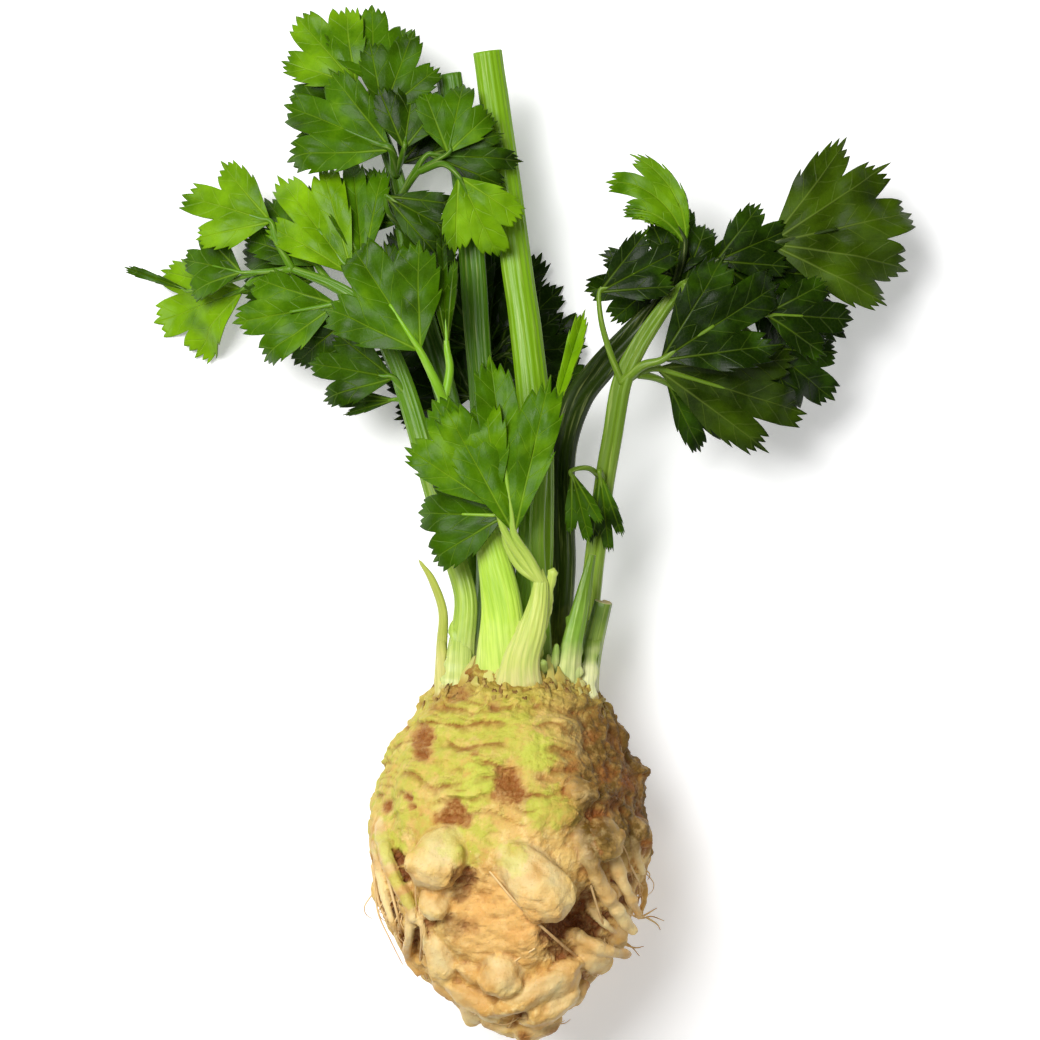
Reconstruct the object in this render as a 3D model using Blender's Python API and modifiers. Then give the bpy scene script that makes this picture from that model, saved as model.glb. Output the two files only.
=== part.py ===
"""A celeriac root with its leafy tops, lying on its side on a flat surface.

The swollen root rests on a small flat spot, and its crown carries leafy fronds, two long stalks cut off at
the top and a few short stubs. All sizes are in millimetres until the mesh is made, +Z is up, +Y runs from the
root's tip to its leaves, and the origin is in the middle of the flat spot, on the surface that it lies on.
Run it with: blender --background --python part.py
"""

import math
import random
from dataclasses import dataclass

import bmesh
import bpy
from mathutils import Matrix, Vector, noise

MM = 0.001

# The swollen root: its widest radius is about 54 mm, and its crown carries the stalks.
ROOT_CENTRE = Vector((0.0, 0.0, 51.0))
CROWN_LEAN_RIGHT = 4.0  # degrees that the root's axis leans towards +X at the crown
CROWN_DIP = 8.0  # degrees that the axis dips at the crown, so that the leaves come down to the surface
ROOT_TIP_LIFT = 9.0  # how far the root's tip is raised over that straight axis
FIT_GAP = 0.35  # between the crown and the foot of each stalk
ROOT_SEGMENTS = 36
ROOT_RINGS = 24

# Turned profile of the root: degrees from the crown's middle, and the radius there.
ROOT_PROFILE = (
    (0, 68.5), (12, 69.5), (21, 71.5), (29, 69.0), (38, 63.5), (50, 58.5), (64, 55.4), (82, 53.4),
    (102, 51.8), (120, 51.4), (139, 53.4), (155, 58.0), (166, 62.0), (180, 64.0),
)
TIP_SHIFT = 7.0  # how far the root's tip lies towards +X of the axis

# Lumps and pits on the upper side: x, y, height (below zero for a pit) and radius.
ROOT_LUMPS = (
    (14, 21, 3.5, 9), (5, 42, 2.5, 10), (-12, 33, 3.0, 9), (36, 22, 3.5, 8), (42, 46, 3.0, 6),
    (49, 29, 3.5, 6), (52, 4, 3.5, 6), (-44, -2, 3.0, 6), (-36, 26, 2.0, 8), (-20, 18, -3.0, 5),
    (3, 29, -2.5, 6), (31, -21, -6.0, 9), (-12, -12, -4.0, 7), (-31, 44, -1.5, 6), (-45, 20, -3.0, 4),
    (8, -24, 3.0, 12),
)
LUMPS_AROUND = 26  # more lumps, spread over the sides and the under side
LEAF_SCAR_RINGS = 9.0  # ridges in each radian from the crown
LEAF_SCAR_HEIGHT = 0.9

STALK_SIDES = 10
BLADE_THICKNESS = 0.7
SURFACE_CLEARANCE = 0.38  # the lowest that the middle of a blade comes to the surface

# Colours, roughness and metallic value of each kind of sub-part.
FINISHES = {
    "root_skin": ((0.60, 0.42, 0.20), 0.75),
    "stalk_green": ((0.36, 0.52, 0.12), 0.45),
    "leaf_green": ((0.10, 0.26, 0.03), 0.40),
}


@dataclass
class Leaf:
    """A leaflet: the thin stem that carries it, and how its blade is cut and bent."""

    stem: tuple  # points from the stalk to the blade's foot
    heading: float  # degrees from +Y towards +X
    length: float
    spread: float = 42.0  # half of the angle between the blade's two lower edges
    pitch: float = 0.0  # degrees that the midrib rises at its foot
    curl: float = 30.0  # degrees that it bends down over its length
    sweep: float = 0.0  # degrees that it turns sideways over its length
    roll: float = 0.0  # degrees that the blade is turned about its midrib
    fold: float = 12.0  # degrees that each half rises from the midrib
    wave: float = 0.03  # height of the waves along the edge, as a share of the length
    lobes: int = 3
    seed: int = 1


@dataclass
class Stalk:
    """A leaf stalk: its route with a width and a thickness at each point, and its leaflets."""

    route: tuple  # x, y, z, width, thickness
    leaves: tuple = ()


STALKS = {
    "middle_frond": Stalk(
        route=(
            (-1, 60, 61, 20, 9), (-2, 78, 65, 18, 8.5), (-2.5, 96, 66, 15, 8), (-6.5, 117, 66, 11, 7),
            (-12, 137, 66, 8.5, 6), (-18, 155, 67, 7.5, 5.5), (-24, 172, 68, 6, 5),
        ),
        leaves=(
            Leaf(((-24, 172, 68), (-28, 181, 70), (-33, 191, 71)), -33, 51, spread=46, pitch=8, curl=44,
                 fold=5, seed=11),
            Leaf(((-24, 172, 68), (-22, 184, 67), (-23, 192, 67)), -3, 46, spread=15, pitch=2, curl=16,
                 fold=40, seed=12),
        ),
    ),
    "front_frond": Stalk(
        route=((4, 60, 68, 15, 7), (5, 75, 73, 14, 7), (11, 92, 75, 12, 6.5), (12.5, 104, 76, 8, 5)),
        leaves=(
            Leaf(((12.5, 104, 76), (9.5, 116, 78), (5.5, 126, 80)), -5, 67, spread=26, pitch=8, curl=22,
                 seed=21),
            Leaf(((12.5, 104, 76), (5, 113, 77), (-1, 123, 79), (-4, 132, 80)), -31, 50, spread=38, pitch=8,
                 curl=30, seed=22),
            Leaf(((12.5, 104, 76), (4, 110, 75.5), (-2, 120, 76), (-4, 128, 76.5)), -92, 35, spread=48, pitch=-4,
                 curl=40, seed=23),
        ),
    ),
    "left_frond": Stalk(
        route=(
            (-18, 60, 50, 12, 8), (-18, 76, 52, 10.5, 7.5), (-16, 96, 52, 9, 7), (-20, 112, 50, 9, 6.5),
            (-26, 131, 48, 9, 6.5), (-38, 173, 44, 8.5, 6), (-47, 196, 42, 7, 5), (-57, 211, 41, 5.5, 4.5),
            (-69, 219, 39, 4.5, 4), (-84, 225, 35, 3, 3),
        ),
        leaves=(
            Leaf(((-84, 225, 35), (-90, 236, 37), (-92, 243, 38)), -72, 40, spread=46, pitch=6, curl=44,
                 seed=31),
            Leaf(((-57, 211, 41), (-60, 222, 43)), -37, 54, spread=32, pitch=2, curl=32, seed=32),
            Leaf(((-57, 211, 41), (-56, 224, 42)), -6, 50, spread=26, pitch=-4, curl=18, fold=24, seed=33),
            Leaf(((-84, 225, 35), (-98, 224, 32), (-104, 224, 31)), -76, 30, spread=46, pitch=-4, curl=46,
                 seed=34),
            Leaf(((-84, 225, 35), (-98, 222, 28), (-104, 218, 22)), -107, 50, spread=40, pitch=-24, curl=30,
                 seed=35),
            Leaf(((-98, 224, 32), (-115, 220, 21), (-126, 218, 16)), -70, 28, spread=7, pitch=-4, curl=-16,
                 fold=30, lobes=1, seed=36),
            Leaf(((-57, 211, 41), (-66, 211, 41)), -99, 46, spread=38, pitch=2, curl=46, seed=37),
            Leaf(((-69, 219, 39), (-74, 221, 35)), -68, 40, pitch=-16, curl=20, seed=38),
            Leaf(((-38, 173, 44), (-44, 182, 46)), -79, 38, spread=40, pitch=2, curl=44, seed=39),
            Leaf(((-38, 173, 44), (-43, 174, 41)), -93, 29, spread=16, pitch=-18, curl=20, seed=40),
            Leaf(((-47, 196, 42), (-42, 208, 42)), 12, 36, spread=36, pitch=-12, curl=10, seed=41),
        ),
    ),
    "top_frond": Stalk(
        route=(
            (-9, 60, 26, 12, 8), (-10, 80, 27, 12, 8), (-12, 105, 27, 11, 7.5), (-16, 140, 26, 10, 7),
            (-24, 175, 26, 9.5, 6.5), (-34, 210, 27, 9, 6), (-40, 240, 29, 8, 5.5), (-44, 262, 31, 6.5, 5),
            (-51, 282, 33, 5, 4), (-55, 292, 34, 3.5, 3),
        ),
        leaves=(
            Leaf(((-55, 292, 34), (-59, 296, 36)), -40, 40, spread=46, pitch=6, curl=40, seed=51),
            Leaf(((-55, 292, 34), (-52, 296, 36)), -2, 36, spread=48, pitch=8, curl=44, seed=52),
            Leaf(((-51, 282, 33), (-48, 284, 47)), 20, 34, spread=46, pitch=6, curl=22, seed=53),
            Leaf(((-44, 262, 31), (-45, 270, 46)), -66, 48, spread=42, pitch=6, curl=40, seed=54),
            Leaf(((-44, 262, 31), (-40, 270, 48)), 8, 33, spread=46, pitch=8, curl=24, seed=55),
            Leaf(((-43, 252, 30), (-34, 262, 45), (-23, 268, 51)), 12, 31, spread=50, pitch=4, curl=36,
                 seed=56),
            Leaf(((-43, 252, 30), (-36, 262, 43), (-31, 268, 47)), 93, 38, spread=28, pitch=6, curl=24,
                 seed=57),
            Leaf(((-34, 262, 45), (-25, 264, 51), (-19, 259, 54)), 153, 37, spread=44, pitch=-4, curl=22,
                 seed=58),
            Leaf(((-40, 240, 29), (-46, 246, 42), (-47, 252, 46)), 118, 35, spread=32, pitch=16, curl=56,
                 seed=59),
            Leaf(((-40, 240, 29), (-42, 243, 34)), -62, 34, pitch=6, curl=30, seed=60),
            Leaf(((-34, 210, 27), (-36, 216, 30)), 8, 34, spread=40, pitch=10, curl=30, seed=61),
        ),
    ),
    "right_upper_frond": Stalk(
        route=(
            (14, 60, 26, 14, 9.5), (17, 80, 26, 13.5, 9.5), (20, 105, 26, 12.5, 9), (20, 130, 26, 12, 9),
            (21, 155, 29, 11.5, 9), (27, 174, 33, 11, 8.5), (36, 186, 38, 10.5, 8), (47, 198, 42, 9.5, 7),
            (61, 212, 44, 8, 6), (78, 225, 44, 6, 5), (97, 233, 43, 4, 4),
        ),
        leaves=(
            Leaf(((97, 233, 43), (101, 234, 43)), 77, 64, spread=49, pitch=8, curl=40, lobes=5, seed=71),
            Leaf(((61, 212, 44), (66, 224, 48), (68, 233, 50)), -14, 44, spread=26, pitch=14, curl=30,
                 sweep=-80, seed=72),
            Leaf(((78, 225, 44), (80, 227, 47)), 66, 35, spread=42, pitch=8, curl=28, seed=73),
            Leaf(((61, 212, 44), (62, 222, 46)), -100, 36, spread=40, pitch=-6, curl=30, seed=74),
            Leaf(((88, 230, 43), (93, 224, 41)), 122, 50, spread=44, pitch=-14, curl=22, seed=75),
            Leaf(((61, 212, 44), (64, 220, 46)), 8, 32, spread=42, pitch=2, curl=30, seed=76),
        ),
    ),
    "right_lower_frond": Stalk(
        route=(
            (28, 60, 30, 10, 8), (29, 78, 34, 9.5, 8), (31.5, 96, 38, 8.5, 7.5), (34, 118, 44, 8, 7.5),
            (37, 142, 49, 8, 7), (40, 160, 53, 8, 7), (43.5, 180, 56, 8, 6.5), (50, 194, 58, 7, 6),
            (60, 209, 59, 6, 5), (67, 217, 58, 4, 4),
        ),
        leaves=(
            Leaf(((43.5, 180, 56), (51, 186, 60), (58, 188, 62)), 57, 58, spread=38, pitch=8, curl=30,
                 seed=81),
            Leaf(((43.5, 180, 56), (50, 184, 56), (56.5, 185.5, 55)), 106, 70, spread=30, pitch=0, curl=28,
                 seed=82),
            Leaf(((50, 183, 56), (56, 182, 52), (61, 180, 48)), 126, 41, spread=34, pitch=-22, curl=24,
                 seed=83),
            Leaf(((43.5, 180, 56), (39, 191, 59), (35.5, 203, 61), (34.8, 214, 62)), 62, 36, spread=36,
                 pitch=10, curl=26, seed=84),
            Leaf(((67, 217, 58), (85, 213, 57), (98, 206, 56)), 92, 36, spread=44, pitch=0, curl=30,
                 seed=85),
            Leaf(((67, 217, 58), (85, 205, 53), (99, 194, 48)), 125, 38, spread=44, pitch=-14, curl=22,
                 seed=86),
            Leaf(((37, 142, 49), (31, 147, 60), (24, 146, 64)), 165, 31, spread=22, pitch=-4, curl=24,
                 seed=87),
            Leaf(((37, 142, 49), (35, 146, 58)), 173, 34, spread=18, pitch=-8, curl=16, seed=88),
        ),
    ),
    "under_frond": Stalk(
        route=(
            (3, 60, 15, 9, 6), (2, 80, 11, 9, 6), (-2, 110, 6, 8, 6), (-8, 145, 3.2, 7, 5.5),
            (-10, 172, 4.5, 6, 5), (-9, 190, 6.5, 4, 4),
        ),
        leaves=(
            Leaf(((-10, 172, 4.5), (-4, 176, 7)), 42, 48, spread=46, pitch=4, curl=22, seed=91),
            Leaf(((-9, 190, 6.5), (-3, 197, 9)), 46, 35, spread=44, pitch=2, curl=26, seed=92),
            Leaf(((-9, 190, 6.5), (-8, 197, 8)), 4, 50, spread=38, pitch=6, curl=28, seed=93),
            Leaf(((-10, 172, 4.5), (-16, 180, 7)), -24, 42, spread=44, pitch=4, curl=24, seed=94),
        ),
    ),
    "folded_leaf": Stalk(
        route=(
            (13, 60, 54, 7, 5), (13, 80, 56, 7, 5), (12, 100, 57, 6.5, 5), (11, 120, 58, 6, 4.5),
            (12, 140, 58, 5.5, 4), (14.5, 158, 58.5, 4, 3.5),
        ),
        leaves=(
            Leaf(((14.5, 158, 58.5), (15.5, 162, 59)), 17, 46, spread=9, pitch=5, curl=10, fold=48,
                 lobes=1, seed=95),
        ),
    ),
    "long_cut_stalk": Stalk(
        route=(
            (7, 60, 44, 15, 10), (8, 80, 45, 15, 10), (10, 105, 44.5, 14, 9.5), (11, 135, 43, 13.5, 9.5),
            (10.5, 165, 41, 13, 9), (7, 200, 38, 12.5, 8.5), (3.5, 225, 36, 12, 8.5),
            (-0.5, 256, 35, 11.8, 8), (-4.5, 284, 36, 11.4, 8), (-8, 309, 38, 11.2, 8),
        ),
    ),
    "second_cut_stalk": Stalk(
        route=(
            (-9, 60, 41, 14, 9), (-8, 80, 42, 14, 9), (-6.5, 105, 41, 13, 8.5), (-7, 135, 39, 12, 8),
            (-9, 165, 38, 11.5, 8), (-12, 200, 37, 11, 7.5), (-14, 230, 37, 11, 7.5),
            (-17, 260, 37, 10.8, 7.5), (-23, 300, 39, 10.8, 7.5),
        ),
    ),
    "short_cut_stub": Stalk(route=((29, 60, 42, 9, 8), (32, 77, 46, 8, 7.5), (36.5, 96, 50, 7, 7))),
    "thin_side_stalk": Stalk(
        route=(
            (-26, 60, 43, 4.5, 4), (-25.5, 78, 46, 4, 4), (-25, 92, 47, 3.6, 3.6), (-29, 104, 48, 3, 3),
            (-33.5, 111, 48.5, 1.4, 1.4),
        ),
    ),
    "young_stalk": Stalk(
        route=((22.5, 60, 58, 8.5, 6), (24, 78, 61, 8.5, 6), (28, 96, 62, 7.5, 5), (32, 114, 63, 4, 4)),
    ),
    "under_stub": Stalk(route=((18, 60, 16, 8, 5.5), (19, 76, 13, 8, 5.5), (21, 92, 10.5, 7.5, 5.5))),
}

# Knobs on the upper side: x, y, then length, width and the heading of the longer side.
KNOBS = (
    (-27, 3, 26, 20, 70), (-28, -13, 14, 11, 20), (7, -6, 27, 19, -40), (-27, -33, 19, 14, 35),
    (-5, -42, 19, 15, 80), (-13, -52, 22, 11, 15), (4, -53, 25, 12, -45), (16, -52, 19, 13, -10),
    (-3, -62, 19, 11, 40), (14, -66, 15, 12, 0), (-19, -59, 17, 12, -20), (-31, -45, 17, 12, 25),
    (26, -45, 20, 14, -35), (35, -36, 18, 13, -55), (11, -42, 17, 13, 30), (-16, -40, 15, 12, 0),
    (24, -58, 15, 11, -30), (41, -27, 14, 10, -20),
)

# Thick roots that lie on the upper side: x, y and height over the skin along each, and its two end radii.
THICK_ROOTS = (
    (((30, 0, -2), (36, -9, 2.5), (43, -19, 3), (48, -27, 4)), 3.6, 1.4),
    (((38, 2, -2), (44, -8, 2.5), (50, -18, 3)), 3.2, 1.3),
    (((27, -27, -2), (34, -31, 3), (43, -35, 5)), 3.4, 1.5),
    (((-47, 10, -2), (-42, -6, 1.5), (-38, -20, 1.5), (-36, -32, 2), (-37, -46, 3)), 2.0, 1.0),
    (((-50, 4, -2), (-47, -12, 1.5), (-43, -24, 2), (-41, -38, 2)), 1.6, 1.0),
    (((-36, 18, -2), (-38, 6, 1), (-34, -8, 1.5), (-31, -22, 1)), 2.2, 1.4),
)
TIP_KNOBS = 20  # knobs round the rest of the root's tip
SIDE_ROOTS = 10  # curved roots on the sides and the under side


def ease(t):
    """0 to 1 with no slope at either end."""
    t = min(1.0, max(0.0, t))
    return t * t * (3 - 2 * t)


def smooth_route(points, count):
    """Points on a Catmull-Rom curve through the given ones, evenly spread over its spans."""
    rows = [Vector(p) for p in points]
    rows = [2 * rows[0] - rows[1], *rows, 2 * rows[-1] - rows[-2]]
    spans = len(rows) - 3
    route = []
    for i in range(count):
        at = i / (count - 1) * spans
        k = min(int(at), spans - 1)
        t = at - k
        a, b, c, d = rows[k : k + 4]
        route.append(
            0.5 * (2 * b + (c - a) * t + (2 * a - 5 * b + 4 * c - d) * t**2 + (3 * b - a - 3 * c + d) * t**3)
        )
    return route


def crown_axis():
    """The direction from the root's middle to the crown."""
    lean, dip = math.radians(CROWN_LEAN_RIGHT), math.radians(-CROWN_DIP)
    return Vector((math.sin(lean) * math.cos(dip), math.cos(lean) * math.cos(dip), math.sin(dip)))


def profile_radius(angle):
    """The turned profile's radius, this many degrees from the crown's middle."""
    for (a0, r0), (a1, r1) in zip(ROOT_PROFILE, ROOT_PROFILE[1:]):
        if angle <= a1:
            t = (angle - a0) / (a1 - a0)
            return r0 + (r1 - r0) * (0.5 * t + 0.5 * ease(t))
    return ROOT_PROFILE[-1][1]


def root_lumps():
    """Each lump as its direction from the root's middle, its height and the cosine's fall-off."""
    lumps = []
    radius = 54.0
    for x, y, height, size in ROOT_LUMPS:
        up = math.sqrt(max(radius**2 - x**2 - y**2, 1.0))
        lumps.append((Vector((x, y, up)).normalized(), height, size / radius))
    draw = random.Random(7)
    golden = math.radians(137.5)
    for i in range(LUMPS_AROUND):
        along = 0.55 - 1.3 * (i + 0.5) / LUMPS_AROUND
        ring = math.sqrt(1 - along**2)
        turn = i * golden
        way = Vector((ring * math.cos(turn), along, ring * math.sin(turn)))
        if way.z < 0.35:
            lumps.append((way, draw.uniform(1.5, 4.0), draw.uniform(5.0, 9.0) / radius))
    return lumps


LUMPS = root_lumps()
AXIS = crown_axis()


def root_surface(way, grow=0.0):
    """The point of the root's skin in this direction from its middle, moved out by grow."""
    cosine = max(-1.0, min(1.0, way.dot(AXIS)))
    angle = math.acos(cosine)
    radius = profile_radius(math.degrees(angle))
    shoulder = ease((angle - 0.38) / 0.15) * (1 - ease((angle - 0.9) / 0.5))
    wobble = 0.5 * noise.noise(way * 2.5)
    radius += shoulder * LEAF_SCAR_HEIGHT * math.sin((angle + wobble) * 2 * math.pi * LEAF_SCAR_RINGS / 2)
    body = ease((angle - 0.45) / 0.3)
    radius += body * (1.6 * noise.noise(way * 3.1) + 0.9 * noise.noise(way * 7.3))
    for lump, height, size in LUMPS:
        apart = 2 * (1 - way.dot(lump)) / size**2
        if apart < 9:
            radius += body * height * math.exp(-apart)
    point = ROOT_CENTRE + way * (radius + grow)
    tipward = ease((-point.y - 12) / 60)
    point.z += ROOT_TIP_LIFT * tipward
    point.x += TIP_SHIFT * tipward
    return point


def over_skin(x, y, lift=0.0):
    """The point at this height over the skin, on the upper side, that is seen at x and y from above."""
    aim = Vector((x, y, 0))
    for _ in range(12):
        high = math.sqrt(max(52.0**2 - aim.x**2 - aim.y**2, 90.0))
        found = root_surface(Vector((aim.x, aim.y, high)).normalized(), lift)
        aim += Vector((x - found.x, y - found.y, 0)) * 0.7
        if aim.length > 70:
            aim *= 70 / aim.length
    return found


def mesh_object(name, mesh, finish=None):
    thing = bpy.data.objects.new(name, mesh)
    bpy.context.scene.collection.objects.link(thing)
    if finish:
        mesh.materials.append(material(finish))
    return thing


def material(finish):
    found = bpy.data.materials.get(finish)
    if found:
        return found
    colour, roughness = FINISHES[finish]
    made = bpy.data.materials.new(finish)
    made.use_nodes = True
    shader = made.node_tree.nodes["Principled BSDF"]
    shader.inputs["Base Color"].default_value = (*colour, 1)
    shader.inputs["Roughness"].default_value = roughness
    shader.inputs["Metallic"].default_value = 0
    made.diffuse_color = (*colour, 1)
    return made


def root_body(name, grow=0.0):
    """The root without its roots, as a closed mesh raised from a sphere."""
    mesh = bpy.data.meshes.new(name)
    shape = bmesh.new()
    bmesh.ops.create_uvsphere(shape, u_segments=ROOT_SEGMENTS, v_segments=ROOT_RINGS, radius=1)
    upright = Vector((0, 0, 1)).rotation_difference(AXIS).to_matrix()
    for vertex in shape.verts:
        vertex.co = root_surface((upright @ vertex.co).normalized(), grow) * MM
    bmesh.ops.triangulate(shape, faces=shape.faces)
    shape.to_mesh(mesh)
    shape.free()
    return mesh_object(name, mesh)


def tube(name, route, radii, rings=6, resolution=1):
    """A tapered round tube along a smooth route: a curve with a bevel, made a mesh with its caps welded on."""
    curve = bpy.data.curves.new(name, "CURVE")
    curve.dimensions = "3D"
    curve.bevel_depth = MM
    curve.bevel_resolution = resolution
    curve.use_fill_caps = True
    spline = curve.splines.new("POLY")
    points = smooth_route(route, rings)
    spline.points.add(rings - 1)
    for i, (point, place) in enumerate(zip(spline.points, points)):
        point.co = (*(place * MM), 1)
        point.radius = radii[0] + (radii[1] - radii[0]) * i / (rings - 1)
    guide = bpy.data.objects.new(name, curve)
    bpy.context.scene.collection.objects.link(guide)
    bpy.context.view_layer.update()
    graph = bpy.context.evaluated_depsgraph_get()
    mesh = bpy.data.meshes.new_from_object(guide.evaluated_get(graph))
    bpy.data.objects.remove(guide)
    shape = bmesh.new()
    shape.from_mesh(mesh)
    bmesh.ops.remove_doubles(shape, verts=shape.verts, dist=1e-6)
    bmesh.ops.triangulate(shape, faces=shape.faces)
    bmesh.ops.recalc_face_normals(shape, faces=shape.faces)
    shape.to_mesh(mesh)
    shape.free()
    return mesh_object(name, mesh)


def stalk_section(width, thickness):
    """A stalk's cross-section: a ribbed oval, hollowed into a groove on the side that faces the plant's middle."""
    corners = []
    for i in range(STALK_SIDES):
        turn = 2 * math.pi * i / STALK_SIDES
        across, out = math.cos(turn), math.sin(turn)
        if out < 0:
            out *= 1 - 0.75 * math.exp(-((across / 0.5) ** 2))
        corners.append((across * width / 2, out * thickness / 2))
    return corners


def stalk_body(name, stalk, rings):
    """A loft along the stalk's route between sections that go from a broad sheath to a slim stem."""
    rows = smooth_route([Vector((x, y, z)) for x, y, z, _, _ in stalk.route], rings)
    sizes = smooth_route([Vector((w, t, 0)) for _, _, _, w, t in stalk.route], rings)
    crown = ROOT_CENTRE + AXIS * ROOT_PROFILE[0][1]
    out = (rows[0] - crown).normalized()
    out.z += 1.2 if out.z > -0.2 else -1.2
    mesh = bpy.data.meshes.new(name)
    shape = bmesh.new()
    loops = []
    for i, (place, size) in enumerate(zip(rows, sizes)):
        along = (rows[min(i + 1, rings - 1)] - rows[max(i - 1, 0)]).normalized()
        out = (out - along * out.dot(along)).normalized()
        side = along.cross(out)
        corners = stalk_section(size.x, size.y)
        loops.append([shape.verts.new((place + side * a + out * b) * MM) for a, b in corners])
    for low, high in zip(loops, loops[1:]):
        for k in range(STALK_SIDES):
            n = (k + 1) % STALK_SIDES
            shape.faces.new((low[k], low[n], high[n], high[k]))
    shape.faces.new(loops[0][::-1])
    shape.faces.new(loops[-1])
    bmesh.ops.triangulate(shape, faces=shape.faces)
    bmesh.ops.recalc_face_normals(shape, faces=shape.faces)
    shape.to_mesh(mesh)
    shape.free()
    return mesh_object(name, mesh)


def blade_outline(leaf):
    """The cut edge of a blade, as (place across from -1 to 1, reach from 0 to 1) at each tooth and notch."""
    draw = random.Random(leaf.seed)
    lobes = {
        1: ((0.0, 1.0),),
        3: ((-0.68, 0.84), (0.0, 1.0), (0.68, 0.84)),
        5: ((-0.82, 0.86), (-0.43, 0.96), (0.0, 1.0), (0.43, 0.97), (0.82, 0.88)),
    }[leaf.lobes]
    gap = 2.0 / len(lobes) * 0.31
    teeth = []
    for middle, reach in lobes:
        reach *= draw.uniform(0.94, 1.05)
        for step, share in ((-1, 0.93), (0, 1.0), (1, 0.93)):
            place = middle + step * gap * draw.uniform(0.85, 1.0)
            teeth.append((place, reach * share * draw.uniform(0.96, 1.03), step))
    edge = [(-1.0, 0.46)]
    for (place, reach, step), after in zip(teeth, teeth[1:] + [None]):
        edge.append((place, reach))
        if after:
            notch = 0.915 if after[2] > -1 else 0.76
            edge.append(((place + after[0]) / 2, min(reach, after[1]) * notch))
    edge.append((1.0, 0.46))
    return edge


def midrib(leaf, steps=24):
    """Places and frames along a blade's midrib: where it is, and the ways along, across and out of the blade."""
    place = Vector(leaf.stem[-1])
    frames = []
    for i in range(steps + 1):
        share = i / steps
        heading = math.radians(leaf.heading + leaf.sweep * share)
        rise = math.radians(leaf.pitch - leaf.curl * share)
        along = Vector((math.sin(heading) * math.cos(rise), math.cos(heading) * math.cos(rise), math.sin(rise)))
        level = Vector((math.cos(heading), -math.sin(heading), 0))
        across = Matrix.Rotation(math.radians(leaf.roll), 3, along) @ level
        frames.append((place.copy(), along, across, across.cross(along)))
        place += along * leaf.length / steps
    return frames


def blade_point(leaf, frames, turn, reach, share):
    """The blade's point at an angle from the midrib and a distance from the foot, raised off the surface."""
    ahead, aside = reach * math.cos(turn), reach * math.sin(turn)
    step = min(max(ahead / leaf.length, 0.0), 1.0) * (len(frames) - 1)
    k = min(int(step), len(frames) - 2)
    place, along, across, out = frames[k]
    place = place + along * (ahead - k * leaf.length / (len(frames) - 1))
    fold = math.radians(leaf.fold)
    height = abs(aside) * math.sin(fold) * (1 - 0.5 * share)
    height += leaf.wave * leaf.length * share**2 * math.sin(9 * turn + leaf.seed)
    point = place + across * aside * math.cos(fold) + out * height
    softness = 1.5
    over = (point.z - SURFACE_CLEARANCE) / softness
    point.z = SURFACE_CLEARANCE + softness * (over if over > 20 else math.log1p(math.exp(over)))
    return point


def blade(name, leaf):
    """A leaflet's blade: an open triangulated surface with a cut edge, bent to its midrib, then Solidify."""
    edge = blade_outline(leaf)
    columns = edge[::3]
    frames = midrib(leaf)
    spread = math.radians(leaf.spread)
    shares = (0.36, 0.70) if leaf.length > 44 else (0.54,)
    mesh = bpy.data.meshes.new(name)
    shape = bmesh.new()

    def row(points, share):
        return [
            shape.verts.new(blade_point(leaf, frames, u * spread, r * leaf.length * share, share) * MM)
            for u, r in points
        ]

    foot = shape.verts.new(blade_point(leaf, frames, 0, 0, 0) * MM)
    rows = [row(columns, share) for share in shares]
    rim = row(edge, 1.0)
    for a, b in zip(rows[0], rows[0][1:]):
        shape.faces.new((foot, a, b))
    for low, high in zip(rows, rows[1:]):
        for k in range(len(low) - 1):
            shape.faces.new((low[k], high[k], high[k + 1]))
            shape.faces.new((low[k], high[k + 1], low[k + 1]))
    last = rows[-1]
    for k in range(len(last) - 1):
        a, b, c, d = rim[3 * k : 3 * k + 4]
        shape.faces.new((last[k], a, b))
        shape.faces.new((last[k], b, last[k + 1]))
        shape.faces.new((last[k + 1], b, c))
        shape.faces.new((last[k + 1], c, d))
    bmesh.ops.recalc_face_normals(shape, faces=shape.faces)
    shape.to_mesh(mesh)
    shape.free()
    thing = mesh_object(name, mesh)
    thicken = thing.modifiers.new("thickness", "SOLIDIFY")
    thicken.thickness = BLADE_THICKNESS * MM
    thicken.offset = 0
    apply_modifiers(thing)
    return thing


def leaf_stem(name, leaf):
    """The thin stem of a leaflet, run on under the first part of its blade."""
    ahead = midrib(leaf)[3][0]
    start = max(1.0, min(1.9, leaf.length / 26))
    return tube(name, (*leaf.stem, ahead), (start, start * 0.55), rings=1 + len(leaf.stem), resolution=0)


def apply_modifiers(thing):
    bpy.context.view_layer.update()
    graph = bpy.context.evaluated_depsgraph_get()
    mesh = bpy.data.meshes.new_from_object(thing.evaluated_get(graph))
    thing.modifiers.clear()
    thing.data = mesh


def fuse(base, pieces):
    """One solid from a base and what grows from it, by one Boolean union on their collection."""
    group = bpy.data.collections.new(base.name + "_pieces")
    bpy.context.scene.collection.children.link(group)
    for piece in pieces:
        bpy.context.scene.collection.objects.unlink(piece)
        group.objects.link(piece)
    join = base.modifiers.new("fuse", "BOOLEAN")
    join.operation = "UNION"
    join.operand_type = "COLLECTION"
    join.collection = group
    join.solver = "MANIFOLD"
    apply_modifiers(base)
    for piece in pieces:
        bpy.data.objects.remove(piece)
    bpy.data.collections.remove(group)
    shape = bmesh.new()
    shape.from_mesh(base.data)
    bmesh.ops.dissolve_limit(shape, angle_limit=math.radians(1.2), verts=shape.verts, edges=shape.edges)
    bmesh.ops.triangulate(shape, faces=shape.faces)
    shape.to_mesh(base.data)
    shape.free()


def cut(base, cutter):
    take = base.modifiers.new("cut", "BOOLEAN")
    take.operation = "DIFFERENCE"
    take.object = cutter
    take.solver = "MANIFOLD"
    apply_modifiers(base)


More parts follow.
